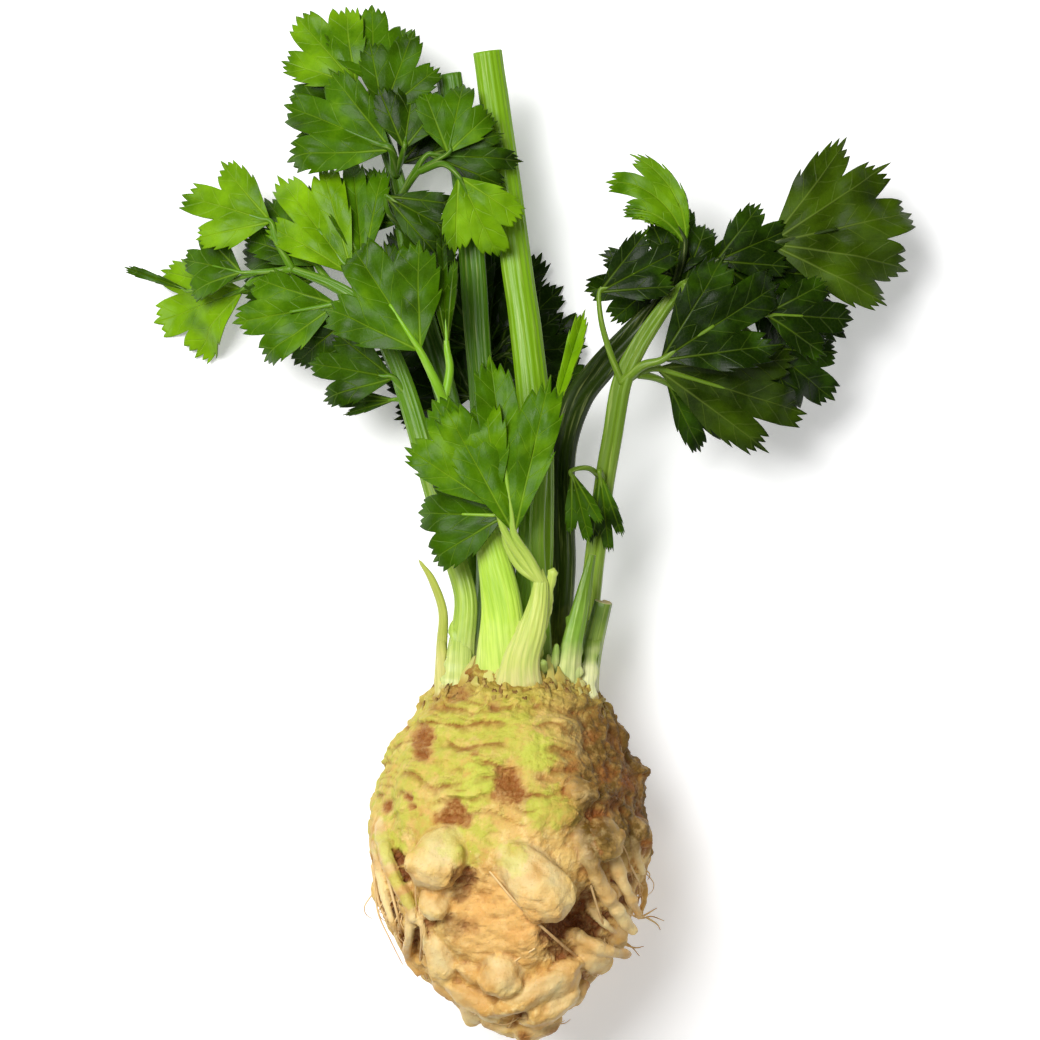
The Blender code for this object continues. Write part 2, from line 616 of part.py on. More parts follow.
def stand_on(thing, origin, collection, finish, parent):
    """Puts the object's origin at its foot, in the named collection, under the empty that carries the plant."""
    thing.data.transform(Matrix.Translation(-Vector(origin) * MM))
    thing.location = Vector(origin) * MM
    thing.data.materials.clear()
    thing.data.materials.append(material(finish))
    thing.data.shade_smooth()
    thing.data.set_sharp_from_angle(angle=math.radians(40))
    bpy.context.scene.collection.objects.unlink(thing)
    collection.objects.link(thing)
    thing.parent = parent


def knob(name, place, length, width, heading):
    """An egg-shaped knob sunk into the skin: a round primitive, stretched and laid along the skin."""
    mesh = bpy.data.meshes.new(name)
    shape = bmesh.new()
    bmesh.ops.create_icosphere(shape, subdivisions=2, radius=1)
    out = (place - ROOT_CENTRE).normalized()
    turn = math.radians(heading)
    along = Vector((math.sin(turn), math.cos(turn), 0))
    along = (along - out * along.dot(out)).normalized()
    side = along.cross(out)
    for vertex in shape.verts:
        x, y, z = vertex.co
        taper = 1 + 0.25 * y
        vertex.co = place + side * x * width / 2 * taper + along * y * length / 2
        vertex.co += out * z * width / 2 * taper * 0.85
        vertex.co *= MM
    shape.to_mesh(mesh)
    shape.free()
    return mesh_object(name, mesh)


def knobs():
    """The knobs seen from above, and more in a spiral round the rest of the root's tip."""
    made = []
    for i, (x, y, length, width, heading) in enumerate(KNOBS):
        made.append(knob(f"knob_{i}", over_skin(x, y, width * 0.08), length, width, heading))
    draw = random.Random(3)
    golden = math.radians(137.5)
    back = -AXIS
    side = back.cross(Vector((0, 0, 1))).normalized()
    up = side.cross(back)
    for i in range(TIP_KNOBS):
        opening = math.radians(6 + 52 * math.sqrt((i + 0.5) / TIP_KNOBS))
        turn = i * golden
        way = back * math.cos(opening) + (side * math.cos(turn) + up * math.sin(turn)) * math.sin(opening)
        skin = root_surface(way)
        if way.z < 0.2 and skin.z > 9:
            length = draw.uniform(14, 20)
            place = skin + way * 1.5
            made.append(knob(f"tip_knob_{i}", place, length, length * 0.7, draw.uniform(-60, 60)))
    return made


def side_roots():
    """Thinner roots that leave the sides and the under side and bend back to the skin."""
    draw = random.Random(5)
    made = []
    golden = math.radians(137.5)
    for i in range(SIDE_ROOTS):
        along = -0.15 - 0.55 * (i + 0.5) / SIDE_ROOTS
        ring = math.sqrt(1 - along**2)
        turn = i * golden
        way = Vector((ring * math.cos(turn), along, ring * math.sin(turn)))
        skin = root_surface(way)
        if skin.z < 12 or way.z > 0.45:
            continue
        flow = (Vector((0, -1, -0.35)) - way * Vector((0, -1, -0.35)).dot(way)).normalized()
        thick = draw.uniform(1.6, 3.0)
        length = draw.uniform(9, 20)
        route = (
            skin - way * 4,
            skin + way * thick * 0.6 + flow * length * 0.35,
            skin + way * thick * 0.9 + flow * length,
        )
        made.append(tube(f"side_root_{i}", route, (thick, thick * 0.5), rings=5))
    return made


def build_root(collection, parent):
    body = root_body("celeriac_root")
    roots = knobs() + side_roots()
    for i, (route, foot, tip) in enumerate(THICK_ROOTS):
        laid = [over_skin(*point) for point in route]
        roots.append(tube(f"thick_root_{i}", laid, (foot, tip), rings=3 + len(route)))
    fuse(body, roots)
    shape = bmesh.new()
    shape.from_mesh(body.data)
    below = bmesh.ops.bisect_plane(
        shape,
        geom=[*shape.verts, *shape.edges, *shape.faces],
        plane_co=(0, 0, 0),
        plane_no=(0, 0, 1),
        clear_inner=True,
    )
    rim = [e for e in below["geom_cut"] if isinstance(e, bmesh.types.BMEdge)]
    bmesh.ops.holes_fill(shape, edges=rim)
    bmesh.ops.triangulate(shape, faces=[f for f in shape.faces if len(f.verts) > 3])
    bmesh.ops.recalc_face_normals(shape, faces=shape.faces)
    shape.to_mesh(body.data)
    shape.free()
    stand_on(body, (0, 0, 0), collection, "root_skin", parent)


def build_stalk(name, stalk, clearance, collection, parent):
    body = stalk_body(name, stalk, rings=max(5, 1 + len(stalk.route)))
    cut(body, clearance)
    grown = []
    for i, leaf in enumerate(stalk.leaves):
        grown += [blade(f"{name}_blade_{i}", leaf), leaf_stem(f"{name}_stem_{i}", leaf)]
    if grown:
        fuse(body, grown)
    finish = "leaf_green" if grown else "stalk_green"
    stand_on(body, stalk.route[0][:3], collection, finish, parent)


def main():
    for old in list(bpy.data.objects):
        bpy.data.objects.remove(old)
    collection = bpy.data.collections.new("celeriac")
    bpy.context.scene.collection.children.link(collection)
    plant = bpy.data.objects.new("plant", None)
    collection.objects.link(plant)
    build_root(collection, plant)
    clearance = root_body("crown_clearance", FIT_GAP)
    for name, stalk in STALKS.items():
        build_stalk(name, stalk, clearance, collection, plant)
    bpy.data.objects.remove(clearance)


main()
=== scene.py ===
# %% [markdown]
# # A whole celeriac plant
# A celeriac is one swollen, knobbly root with the plant's leaves still on it. It lies on its side here,
# and we look straight down on it, so "up" in the picture is +Y and the side towards us is +Z. The packed
# model gives the frame: every solid has its place, and each piece below takes over one or more of them
# with a finer shape and a real skin.

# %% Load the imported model
import math
import random

import bmesh
import bpy
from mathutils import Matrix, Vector, bvhtree, kdtree, noise


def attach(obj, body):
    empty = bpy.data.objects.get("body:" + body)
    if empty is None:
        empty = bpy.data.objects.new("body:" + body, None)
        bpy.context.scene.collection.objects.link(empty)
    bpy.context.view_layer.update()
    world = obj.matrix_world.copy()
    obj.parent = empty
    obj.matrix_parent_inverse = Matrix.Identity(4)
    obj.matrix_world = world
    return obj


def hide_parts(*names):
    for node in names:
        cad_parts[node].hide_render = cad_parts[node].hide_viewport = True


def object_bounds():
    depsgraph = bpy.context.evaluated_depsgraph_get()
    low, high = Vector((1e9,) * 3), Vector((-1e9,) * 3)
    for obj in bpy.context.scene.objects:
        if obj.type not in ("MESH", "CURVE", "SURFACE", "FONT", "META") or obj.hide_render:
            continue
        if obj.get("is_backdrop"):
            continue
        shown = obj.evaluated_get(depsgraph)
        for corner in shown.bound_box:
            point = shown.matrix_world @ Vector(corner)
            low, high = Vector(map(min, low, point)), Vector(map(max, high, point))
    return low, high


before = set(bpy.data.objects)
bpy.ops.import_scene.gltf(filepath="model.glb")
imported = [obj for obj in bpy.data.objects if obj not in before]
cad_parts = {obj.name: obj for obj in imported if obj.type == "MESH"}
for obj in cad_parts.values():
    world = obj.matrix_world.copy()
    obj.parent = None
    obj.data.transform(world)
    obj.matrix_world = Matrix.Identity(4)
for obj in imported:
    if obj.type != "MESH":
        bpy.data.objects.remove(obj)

lowest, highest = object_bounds()
cad_box = [list(lowest), list(highest)]
print("the packed model has", len(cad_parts), "nodes, its box in mm is",
      [[round(v * 1000) for v in corner] for corner in cad_box])

# %% [markdown]
# The camera hangs 1.2 m over the surface and looks straight down, as in the photograph. A long lens keeps
# the root, which bulges towards us, from looking larger than it is.

# %% Camera
MM = 0.001
CAMERA_HEIGHT = 1.2
SEEN_WIDTH = 0.401  # of the plane at mid height that fills the picture
MID_HEIGHT = 0.045
PICTURE_MIDDLE = (0.0046, 0.1274)  # x and y, in metres

lens = bpy.data.cameras.new("long_lens")
lens.sensor_width = 36
lens.lens = lens.sensor_width * (CAMERA_HEIGHT - MID_HEIGHT) / SEEN_WIDTH
lens.clip_start = 0.01
camera = bpy.data.objects.new("camera", lens)
camera.location = (*PICTURE_MIDDLE, CAMERA_HEIGHT)
bpy.context.scene.collection.objects.link(camera)
bpy.context.scene.camera = camera
print("lens of", round(lens.lens, 1), "mm at", CAMERA_HEIGHT, "m")

# %% [markdown]
# Helpers for the materials. Colours are written as the hex values that a colour picker shows, which are
# sRGB, while the shader wants linear light, so one function turns them. Another adds a node with its
# settings and its links in one go, and hands back the socket that the next node reads.

# %% Helpers for materials
def colour(code):
    """An sRGB hex colour as linear red, green, blue and alpha."""
    parts = [int(code[i : i + 2], 16) / 255 for i in (1, 3, 5)]
    return (*[p / 12.92 if p <= 0.04045 else ((p + 0.055) / 1.055) ** 2.4 for p in parts], 1.0)


def add(tree, kind, inputs=(), out=0, **settings):
    """Adds a node with its settings, then sets or links its inputs, and returns one of its outputs."""
    made = tree.nodes.new(kind)
    for name, value in settings.items():
        setattr(made, name, value)
    for key, value in dict(inputs).items():
        if isinstance(value, bpy.types.NodeSocket):
            tree.links.new(value, made.inputs[key])
        else:
            made.inputs[key].default_value = value
    return made.outputs[out]


COLOURS = {"data_type": "RGBA", "out": 2}  # makes a Mix node mix colours


def new_skin(name):
    """An empty material and its node tree."""
    made = bpy.data.materials.new(name)
    made.use_nodes = True
    made.node_tree.nodes.clear()
    return made, made.node_tree


print("grass green in linear light:", [round(v, 3) for v in colour("#4C7A0C")])

# %% [markdown]
# Helpers for shapes. Leaf stalks, stems and thin roots all follow a smooth route, and every piece is
# gathered corner by corner. Each corner also keeps a few values, such as how far it is from a vein, which
# the materials read back with an Attribute node. That ties the colour to the form, and it looks the same
# from any side.

# %% Helpers for shapes
def ease(t):
    """0 to 1 with no slope at either end."""
    t = min(1.0, max(0.0, t))
    return t * t * (3 - 2 * t)


def smooth_route(points, count):
    """Points on a Catmull-Rom curve through the given ones, evenly spread over its spans."""
    rows = [Vector(p) for p in points]
    rows = [2 * rows[0] - rows[1], *rows, 2 * rows[-1] - rows[-2]]
    spans = len(rows) - 3
    route = []
    for i in range(count):
        at = i / (count - 1) * spans
        k = min(int(at), spans - 1)
        t = at - k
        a, b, c, d = rows[k : k + 4]
        route.append(
            0.5 * (2 * b + (c - a) * t + (2 * a - 5 * b + 4 * c - d) * t**2 + (3 * b - a - 3 * c + d) * t**3)
        )
    return route


class Growth:
    """Corners and faces of one piece while it is made, and the values that its skin reads at each corner."""

    def __init__(self, *values):
        self.corners, self.faces, self.slots = [], [], []
        self.values = {name: [] for name in values}

    def corner(self, place, **values):
        self.corners.append(place * MM)
        for name, kept in self.values.items():
            kept.append(values[name])
        return len(self.corners) - 1

    def face(self, corners, slot=0):
        self.faces.append(corners)
        self.slots.append(slot)

    def band(self, low, high, slot=0):
        """The faces between two closed loops of as many corners."""
        for k in range(len(low)):
            n = (k + 1) % len(low)
            self.face((low[k], low[n], high[n], high[k]), slot)

    def mesh(self, name):
        made = bpy.data.meshes.new(name)
        made.from_pydata(self.corners, [], self.faces)
        made.polygons.foreach_set("material_index", self.slots)
        for name, kept in self.values.items():
            if isinstance(kept[0], float):
                made.attributes.new(name, "FLOAT", "POINT").data.foreach_set("value", kept)
            else:
                flat = [v for row in kept for v in row]
                made.attributes.new(name, "FLOAT_VECTOR", "POINT").data.foreach_set("vector", flat)
        made.shade_smooth()
        return made


def with_modifiers(thing):
    """Applies the object's modifiers to its mesh."""
    bpy.context.view_layer.update()
    graph = bpy.context.evaluated_depsgraph_get()
    made = bpy.data.meshes.new_from_object(thing.evaluated_get(graph))
    thing.modifiers.clear()
    thing.data = made


def plant_piece(name, mesh, slot, skins, *nodes):
    """An object that rides on the plant, wears these skins and stands for the CAD nodes; the slot is not
    used.
    """
    thing = bpy.data.objects.new(name, mesh)
    bpy.context.scene.collection.objects.link(thing)
    thing.data.materials.clear()
    for skin in skins:
        thing.data.materials.append(skin)
    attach(thing, "root")
    if nodes:
        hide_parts(*nodes)
    return thing


sample = smooth_route(((0, 0, 0), (4, 1, 0)), 5)
print("a smooth route of 5 points:", [tuple(round(v, 1) for v in p) for p in sample])

# %% [markdown]
# ## The root
# The swollen root is a turned form that leans a little, with lumps, pits and rings of old leaf scars. A
# skin that is a function of the direction from the root's middle is easy to shape and to grow pieces on.
# These are the same named values as the solid's, so the fine root stays where the solid is.

# %% Form of the root
ROOT_CENTRE = Vector((0.0, 0.0, 51.0))
CROWN_LEAN_RIGHT = 4.0  # degrees
CROWN_DIP = 8.0
ROOT_TIP_LIFT = 9.0
TIP_SHIFT = 7.0
ROOT_PROFILE = (
    (0, 68.5), (12, 69.5), (21, 71.5), (29, 69.0), (38, 63.5), (50, 58.5), (64, 55.4), (82, 53.4),
    (102, 51.8), (120, 51.4), (139, 53.4), (155, 58.0), (166, 62.0), (180, 64.0),
)
# Lumps and pits on the upper side: x, y, height (below zero for a pit) and radius.
ROOT_LUMPS = (
    (14, 21, 3.5, 9), (5, 42, 2.5, 10), (-12, 33, 3.0, 9), (36, 22, 3.5, 8), (42, 46, 3.0, 6),
    (49, 29, 3.5, 6), (52, 4, 3.5, 6), (-44, -2, 3.0, 6), (-36, 26, 2.0, 8), (-20, 18, -3.0, 5),
    (3, 29, -2.5, 6), (31, -21, -6.0, 9), (-12, -12, -4.0, 7), (-31, 44, -1.5, 6), (-45, 20, -3.0, 4),
    (8, -24, 3.0, 12), (42, -40, -4.5, 15), (28, -52, -3.0, 12), (22, 18, 3.5, 4.5), (-46, 42, 3.5, 13),
    (-52, -2, 2.0, 5),
)
LUMPS_AROUND = 26
MEAN_RADIUS = 54.0
GOLDEN = math.radians(137.5)  # the turn between neighbours that spreads them evenly


def crown_axis():
    """The way from the root's middle to its crown."""
    lean, dip = math.radians(CROWN_LEAN_RIGHT), math.radians(-CROWN_DIP)
    return Vector((math.sin(lean) * math.cos(dip), math.cos(lean) * math.cos(dip), math.sin(dip)))


AXIS = crown_axis()
UPRIGHT = Vector((0, 0, 1)).rotation_difference(AXIS).to_matrix()


def crown_way(polar, turn):
    """The way from the root's middle at this angle from the crown's axis and this turn round it."""
    ring = math.sin(polar)
    return UPRIGHT @ Vector((ring * math.cos(turn), ring * math.sin(turn), math.cos(polar)))


def side_way(along, turn):
    """The way from the root's middle with this share along Y and this turn round it."""
    ring = math.sqrt(1 - along**2)
    return Vector((ring * math.cos(turn), along, ring * math.sin(turn)))


def profile_radius(angle):
    """The turned profile's radius, this many degrees from the crown's middle."""
    for (a0, r0), (a1, r1) in zip(ROOT_PROFILE, ROOT_PROFILE[1:]):
        if angle <= a1:
            t = (angle - a0) / (a1 - a0)
            return r0 + (r1 - r0) * (0.5 * t + 0.5 * ease(t))
    return ROOT_PROFILE[-1][1]


def root_lumps():
    """Each lump as its direction from the root's middle, its height and its fall-off."""
    lumps = []
    for x, y, height, size in ROOT_LUMPS:
        up = math.sqrt(max(MEAN_RADIUS**2 - x**2 - y**2, 1.0))
        lumps.append((Vector((x, y, up)).normalized(), height, size / MEAN_RADIUS))
    draw = random.Random(7)
    for i in range(LUMPS_AROUND):
        way = side_way(0.55 - 1.3 * (i + 0.5) / LUMPS_AROUND, i * GOLDEN)
        if way.z < 0.35:
            lumps.append((way, draw.uniform(1.5, 4.0), draw.uniform(5.0, 9.0) / MEAN_RADIUS))
    return lumps


LUMPS = root_lumps()


def root_surface(way, grow=0.0):
    """The point of the root's skin in this direction from its middle, moved out by grow."""
    angle = math.acos(max(-1.0, min(1.0, way.dot(AXIS))))
    radius = profile_radius(math.degrees(angle))
    body = ease((angle - 0.45) / 0.3)
    radius += body * (1.6 * noise.noise(way * 3.1) + 0.9 * noise.noise(way * 7.3))
    for lump, height, size in LUMPS:
        apart = 2 * (1 - way.dot(lump)) / size**2
        if apart < 9:
            radius += body * height * math.exp(-apart)
    point = ROOT_CENTRE + way * (radius + grow)
    tipward = ease((-point.y - 12) / 60)
    point.z += ROOT_TIP_LIFT * tipward
    point.x += TIP_SHIFT * tipward
    return point


def over_skin(x, y, lift=0.0):
    """The point at this height over the skin, on the upper side, that is seen at x and y from above.

    It aims at a ball, sees by how much the skin's point misses x and y, and mends its aim by most of that."""
    aim = Vector((x, y, 0))
    for _ in range(12):
        high = math.sqrt(max(52.0**2 - aim.x**2 - aim.y**2, 90.0))
        found = root_surface(Vector((aim.x, aim.y, high)).normalized(), lift)
        aim += Vector((x - found.x, y - found.y, 0)) * 0.7
        if aim.length > 70:
            aim *= 70 / aim.length
    return found


print("the skin over the middle is at", round(over_skin(0, 0).z, 1), "mm")

# %% [markdown]
# Knobs are where thick roots were trimmed or grew round. Each is an egg, sunk into the skin. The
# finger-like thick roots are tapered tubes with round ends. All of them are closed forms that overlap the
# body, because the next step melts them together.

# %% Knobs and thick roots
# On the upper side: x, y, then length and width, the heading of its free end, and how far that end rises.
KNOBS = (
    (-25.5, 3, 25, 20, 205, 24), (-27, -13.5, 14, 11.5, 180, 28), (10, -5, 34, 20, 139, 20),
    (-25, -36, 20, 11, 182, 16), (-2.3, -41, 17, 15.5, 190, 34), (-12, -52, 24, 10, 118, 8),
    (8.5, -48, 30, 10, 227, 10), (16, -54, 25, 12.5, 225, 8), (11, -62, 19, 12.5, 235, 14),
    (14.8, -66, 11, 9, 180, 24), (-3, -62.5, 14, 9, 100, 8), (-24, -47, 14, 9, 165, 14),
    (-20.5, -56, 14, 8, 150, 10), (32, -35, 20, 13, 140, 6), (20, -43, 19, 13, 200, 10),
    (25, -50, 14, 9, 215, 8), (-7, -58, 10, 6, 60, 10), (36, 10, 17, 13, 165, 22),
    (41, -27, 13, 9, 150, 6), (2, -68, 11, 8, 180, 10), (-13, -41, 13, 7, 95, 8),
    (-34, -42, 10, 6, 175, 12), (27, 27, 13, 11, 160, 8), (50, 10, 12, 9, 170, 10),
)
# Roots that lie on the upper side: x, y and height over the skin along each, and its two end radii.
THICK_ROOTS = (
    (((27, 13, -2), (32, -2, 4), (38.5, -14, 6.5), (43, -21, 7.5), (47, -26.5, 8)), 3.9, 2.1),
    (((38, 4, -1), (43, -8, 4), (47, -16, 5), (49.5, -22, 5)), 3.0, 1.5),
    (((26, -27, 1), (31, -30, 5), (38, -33, 7.5), (45.5, -35.5, 8.5)), 3.0, 1.9),
    (((-48, 12, -1), (-45.5, 3, 2.5), (-42, -6, 3.4), (-37.5, -14, 3.6), (-35, -21, 3.2)), 2.7, 2.1),
    (((-36.5, -19, 2.2), (-37, -28, 3.4), (-38, -38, 4), (-37, -49, 4)), 2.0, 1.2),
    (((-50, 4, -1), (-47, -12, 2.5), (-43, -24, 3.2), (-41, -38, 3.2)), 1.9, 1.0),
    (((-34, -17, 1), (-31, -27, 2), (-31.5, -36, 2)), 1.5, 0.8),
    (((45, 14, -2), (48, 4, 1.5), (51, -6, 2)), 2.4, 1.2),
    (((31, -18, -2), (37, -24, 2), (43, -30, 3)), 1.8, 0.9),
)
TIP_KNOBS = 20
CROWN_BUMPS = 46
SIDE_ROOTS = 10
knob_forms = []  # middle, then the ways along, across and out, each divided by the half size, and the reach
finger_places = []  # points along the thick roots, and the radius there
FINGER_POINTS = 50


def add_knob(growth, place, length, width, heading, rise=0.0):
    """An uneven egg whose free end rises out of the skin, as rings of corners from a round primitive."""
    out = (place - ROOT_CENTRE).normalized()
    turn = math.radians(heading)
    along = Vector((math.sin(turn), math.cos(turn), 0))
    along = (along - out * along.dot(out)).normalized()
    side = along.cross(out)
    tilt = math.radians(rise)
    along, out = along * math.cos(tilt) + out * math.sin(tilt), out * math.cos(tilt) - along * math.sin(tilt)
    knob_forms.append((place, along * 2 / length, side * 2 / width, out * 2 / (width * 0.85), length * 0.62))
    egg = bmesh.new()
    bmesh.ops.create_icosphere(egg, subdivisions=5, radius=1)
    first = len(growth.corners)
    for vertex in egg.verts:
        x, y, z = (math.copysign(abs(v) ** 0.88, v) for v in vertex.co)  # a little boxy
        taper = 1 + 0.2 * y
        uneven = 1 + 0.20 * noise.noise(vertex.co * 1.3 + place * 0.13)
        uneven += 0.09 * noise.noise(vertex.co * 3.4 + place)
        spot = side * x * width / 2 * taper + along * y * length / 2 + out * z * width / 2 * taper * 0.85
        growth.corner(place + spot * uneven)
    for face in egg.faces:
        growth.face([first + v.index for v in face.verts])
    egg.free()


def strand_beside(kept, beside):
    """Moves a strand value sideways round the tube, so that the strands run along it."""
    if "strand" not in kept:
        return kept
    across, run, cut = kept["strand"]
    return {"strand": (across + beside, run, cut)}


def add_tube(growth, route, radii, sides=12, rings=None, values=None, uneven=0.0, flatness=1.0,
             out=Vector((0.13, 0.21, 1))):
    """A tapered tube with rounded ends along a smooth route; values(place along) gives what corners keep."""
    rings = rings or 6 * len(route)
    places = smooth_route(route, rings)
    loops = []
    for i, place in enumerate(places):
        t = i / (rings - 1)
        along = (places[min(i + 1, rings - 1)] - places[max(i - 1, 0)]).normalized()
        out = (out - along * out.dot(along)).normalized()
        side = along.cross(out)
        radius = (radii[0] + (radii[1] - radii[0]) * t) * (1 + uneven * noise.noise(place * 0.25))
        kept = values(t) if values else {}
        loops.append([
            growth.corner(place + (side * math.cos(a) + out * math.sin(a) * flatness) * radius,
                          **strand_beside(kept, math.cos(a) * radius))
            for a in (2 * math.pi * k / sides for k in range(sides))
        ])
    ends = ((loops[0], -1, places[0], radii[0]), (loops[-1], 1, places[-1], radii[1]))
    for end, way, place, radius in ends:
        along = (places[1] - places[0]) if way < 0 else (places[-1] - places[-2])
        kept = values(0.0 if way < 0 else 1.0) if values else {}
        tip = growth.corner(place + along.normalized() * way * radius * 0.8, **kept)
        for k in range(sides):
            pair = (end[k], end[(k + 1) % sides])
            growth.face((*(pair if way > 0 else pair[::-1]), tip))
    for low, high in zip(loops, loops[1:]):
        growth.band(low, high)


def add_root_body(growth, segments=200, rings=140):
    """The body of the root, raised from a round grid whose poles are the crown and the tip."""
    rows = []
    for j in range(1, rings):
        polar = math.pi * j / rings
        ways = [crown_way(polar, 2 * math.pi * i / segments) for i in range(segments)]
        rows.append([growth.corner(root_surface(way)) for way in ways])
    crown, tip = growth.corner(root_surface(AXIS)), growth.corner(root_surface(-AXIS))
    for i in range(segments):
        n = (i + 1) % segments
        growth.face((crown, rows[0][i], rows[0][n]))
        growth.face((tip, rows[-1][n], rows[-1][i]))
        for low, high in zip(rows, rows[1:]):
            growth.face((low[i], high[i], high[n], low[n]))


def add_crown_bumps(growth):
    """Swollen feet of old leaves that make the crown's shoulder ragged. They keep the body's skin."""
    draw = random.Random(9)
    for i in range(CROWN_BUMPS):
        way = crown_way(math.radians(draw.uniform(20, 35)), i * GOLDEN)
        length = draw.uniform(9, 16)
        place = root_surface(way, draw.uniform(-1.8, -0.2))
        width = length * draw.uniform(0.26, 0.42)
        add_knob(growth, place, length, width, draw.uniform(-22, 22), draw.uniform(4, 18))
    knob_forms.clear()


def gather_root():
    """The body with its knobs and thick roots: listed on the upper side, by rule at the tip and sides."""
    growth = Growth()
    add_root_body(growth)
    add_crown_bumps(growth)
    for x, y, length, width, heading, rise in KNOBS:
        add_knob(growth, over_skin(x, y, width * 0.06), length, width, heading, rise)
    draw = random.Random(3)
    back = -AXIS
    side = back.cross(Vector((0, 0, 1))).normalized()
    up = side.cross(back)
    for i in range(TIP_KNOBS):
        opening = math.radians(6 + 52 * math.sqrt((i + 0.5) / TIP_KNOBS))
        turn = i * GOLDEN
        way = back * math.cos(opening) + (side * math.cos(turn) + up * math.sin(turn)) * math.sin(opening)
        skin = root_surface(way)
        if way.z < 0.2 and skin.z > 9:
            length = draw.uniform(14, 20)
            heading = 180 + draw.uniform(-60, 60)
            add_knob(growth, skin + way * 1.0, length, length * draw.uniform(0.5, 0.72), heading, 12)
    for route, foot, tip in THICK_ROOTS:
        places = [over_skin(*point) for point in route]
        add_tube(growth, places, (foot, tip), sides=20, rings=40, uneven=0.35)
        for i, place in enumerate(smooth_route(places, FINGER_POINTS)):
            finger_places.append((place, foot + (tip - foot) * i / (FINGER_POINTS - 1)))
    draw = random.Random(5)
    for i in range(SIDE_ROOTS):
        way = side_way(-0.15 - 0.55 * (i + 0.5) / SIDE_ROOTS, i * GOLDEN)
        skin = root_surface(way)
        if skin.z < 12 or way.z > 0.45:
            continue
        flow = Vector((0, -1, -0.35))
        flow = (flow - way * flow.dot(way)).normalized()
        thick, length = draw.uniform(1.6, 3.0), draw.uniform(9, 20)
        route = (skin - way * 4, skin + way * thick * 0.6 + flow * length * 0.35,
                 skin + way * thick * 0.9 + flow * length)
        add_tube(growth, route, (thick, thick * 0.5), sides=16, rings=24, uneven=0.3)
    return growth


rough_root = gather_root().mesh("celeriac_root")
print("root before melting:", len(rough_root.vertices), "corners,", len(knob_forms), "knobs")

# %% [markdown]
# A voxel remesh melts the overlapping forms into one skin of even squares, 0.88 mm wide, and a few rounds
# of smoothing soften the seams between them as growth does. Even squares also suit the next step, which
# moves each corner in or out to carve the fine relief.

# %% Melt the root into one skin
ROOT_VOXEL = 0.88


def melted(mesh):
    """The mesh's overlapping forms as one closed skin."""
    thing = bpy.data.objects.new("melting", mesh)
    bpy.context.scene.collection.objects.link(thing)
    remesh = thing.modifiers.new("melt", "REMESH")
    remesh.mode = "VOXEL"
    remesh.voxel_size = ROOT_VOXEL * MM
    soften = thing.modifiers.new("soften", "SMOOTH")
    soften.factor = 0.5
    soften.iterations = 3
    with_modifiers(thing)
    made = thing.data
    bpy.data.objects.remove(thing)
    return made


root_mesh = melted(rough_root)
print("melted root:", len(root_mesh.vertices), "corners")

# %% [markdown]
# The relief is what makes it a celeriac: rings of old leaf scars round the crown's shoulder, sunken rough
# brown patches, a creased hollow between the knobs, and a fine uneven skin everywhere. The same places
# also steer the colours, so each corner keeps how green, brown, dark and scarred it is, for example.

# %% Relief and colour places of the root
# On the upper side: x, y, radius, and how strong.
BROWN_PATCHES = (
    (-31.5, 46, 4.2, 1), (-32.5, 42, 3.6, 0.9), (0.2, 30.5, 5.2, 1), (3.2, 26.5, 4.6, 1),
    (-2.5, 27, 3.5, 0.8), (-22.5, 17.5, 4.2, 1), (-18.5, 20.5, 4.0, 1), (-16, 17.5, 3.0, 0.8),
    (-45.7, 19.5, 2.6, 1), (-36.8, 24.4, 1.9, 1), (-35.6, 21, 1.5, 0.7), (48, 29, 6, 1), (43, 48, 4, 0.8),
    (53, 4, 4, 0.9), (34, 17, 4, 0.7), (31, 46, 3, 0.6), (-51, -2, 3, 0.8), (-30, 60, 5, 0.7),
    (-20, 63, 5, 0.7), (38, 55, 5, 0.6), (-5, 58, 3, 0.5), (-47, 34, 3, 0.5), (12, 33, 2, 0.6),
    (-12, 41, 1.6, 0.5), (24, 36, 2.5, 0.5), (18, -67, 5, 0.9), (-24, -56, 4, 0.8), (-9, -66, 4, 0.8),
    (33, -47, 5, 0.9), (6, -67, 3, 0.9), (-34, -48, 4, 0.8), (44, -36, 4, 0.8), (-14, -22, 4, 0.5),
    (37, 33, 4, 0.7), (52, 18, 4, 0.9), (30, 6, 3, 0.5),
)
GREEN_PLACES = (
    (-9.6, 33, 8, 1.2), (-13, 26, 7, 1.0), (11, 41, 8, 1.1), (14, 22, 9, 0.9), (25, 20, 7, 0.8),
    (-24, 50, 13, 0.75), (-3, 50, 15, 0.75), (-44, 6, 7, 1.0), (-41, -6, 4, 1.0), (-37, -14, 3.5, 0.9),
    (-10, 12, 8, 0.7), (-14, 6, 6, 0.6), (2, 4, 7, 0.8), (-19, 9, 8, 0.8), (-38, 33, 12, 0.65),
    (-40, 20, 10, 0.7), (34, 5, 5, 0.55), (20, 52, 10, 0.5), (-30, 12, 8, 0.6), (0, 62, 16, 0.7),
    (36, 12, 6, 0.55), (-22, 36, 9, 0.7),
)
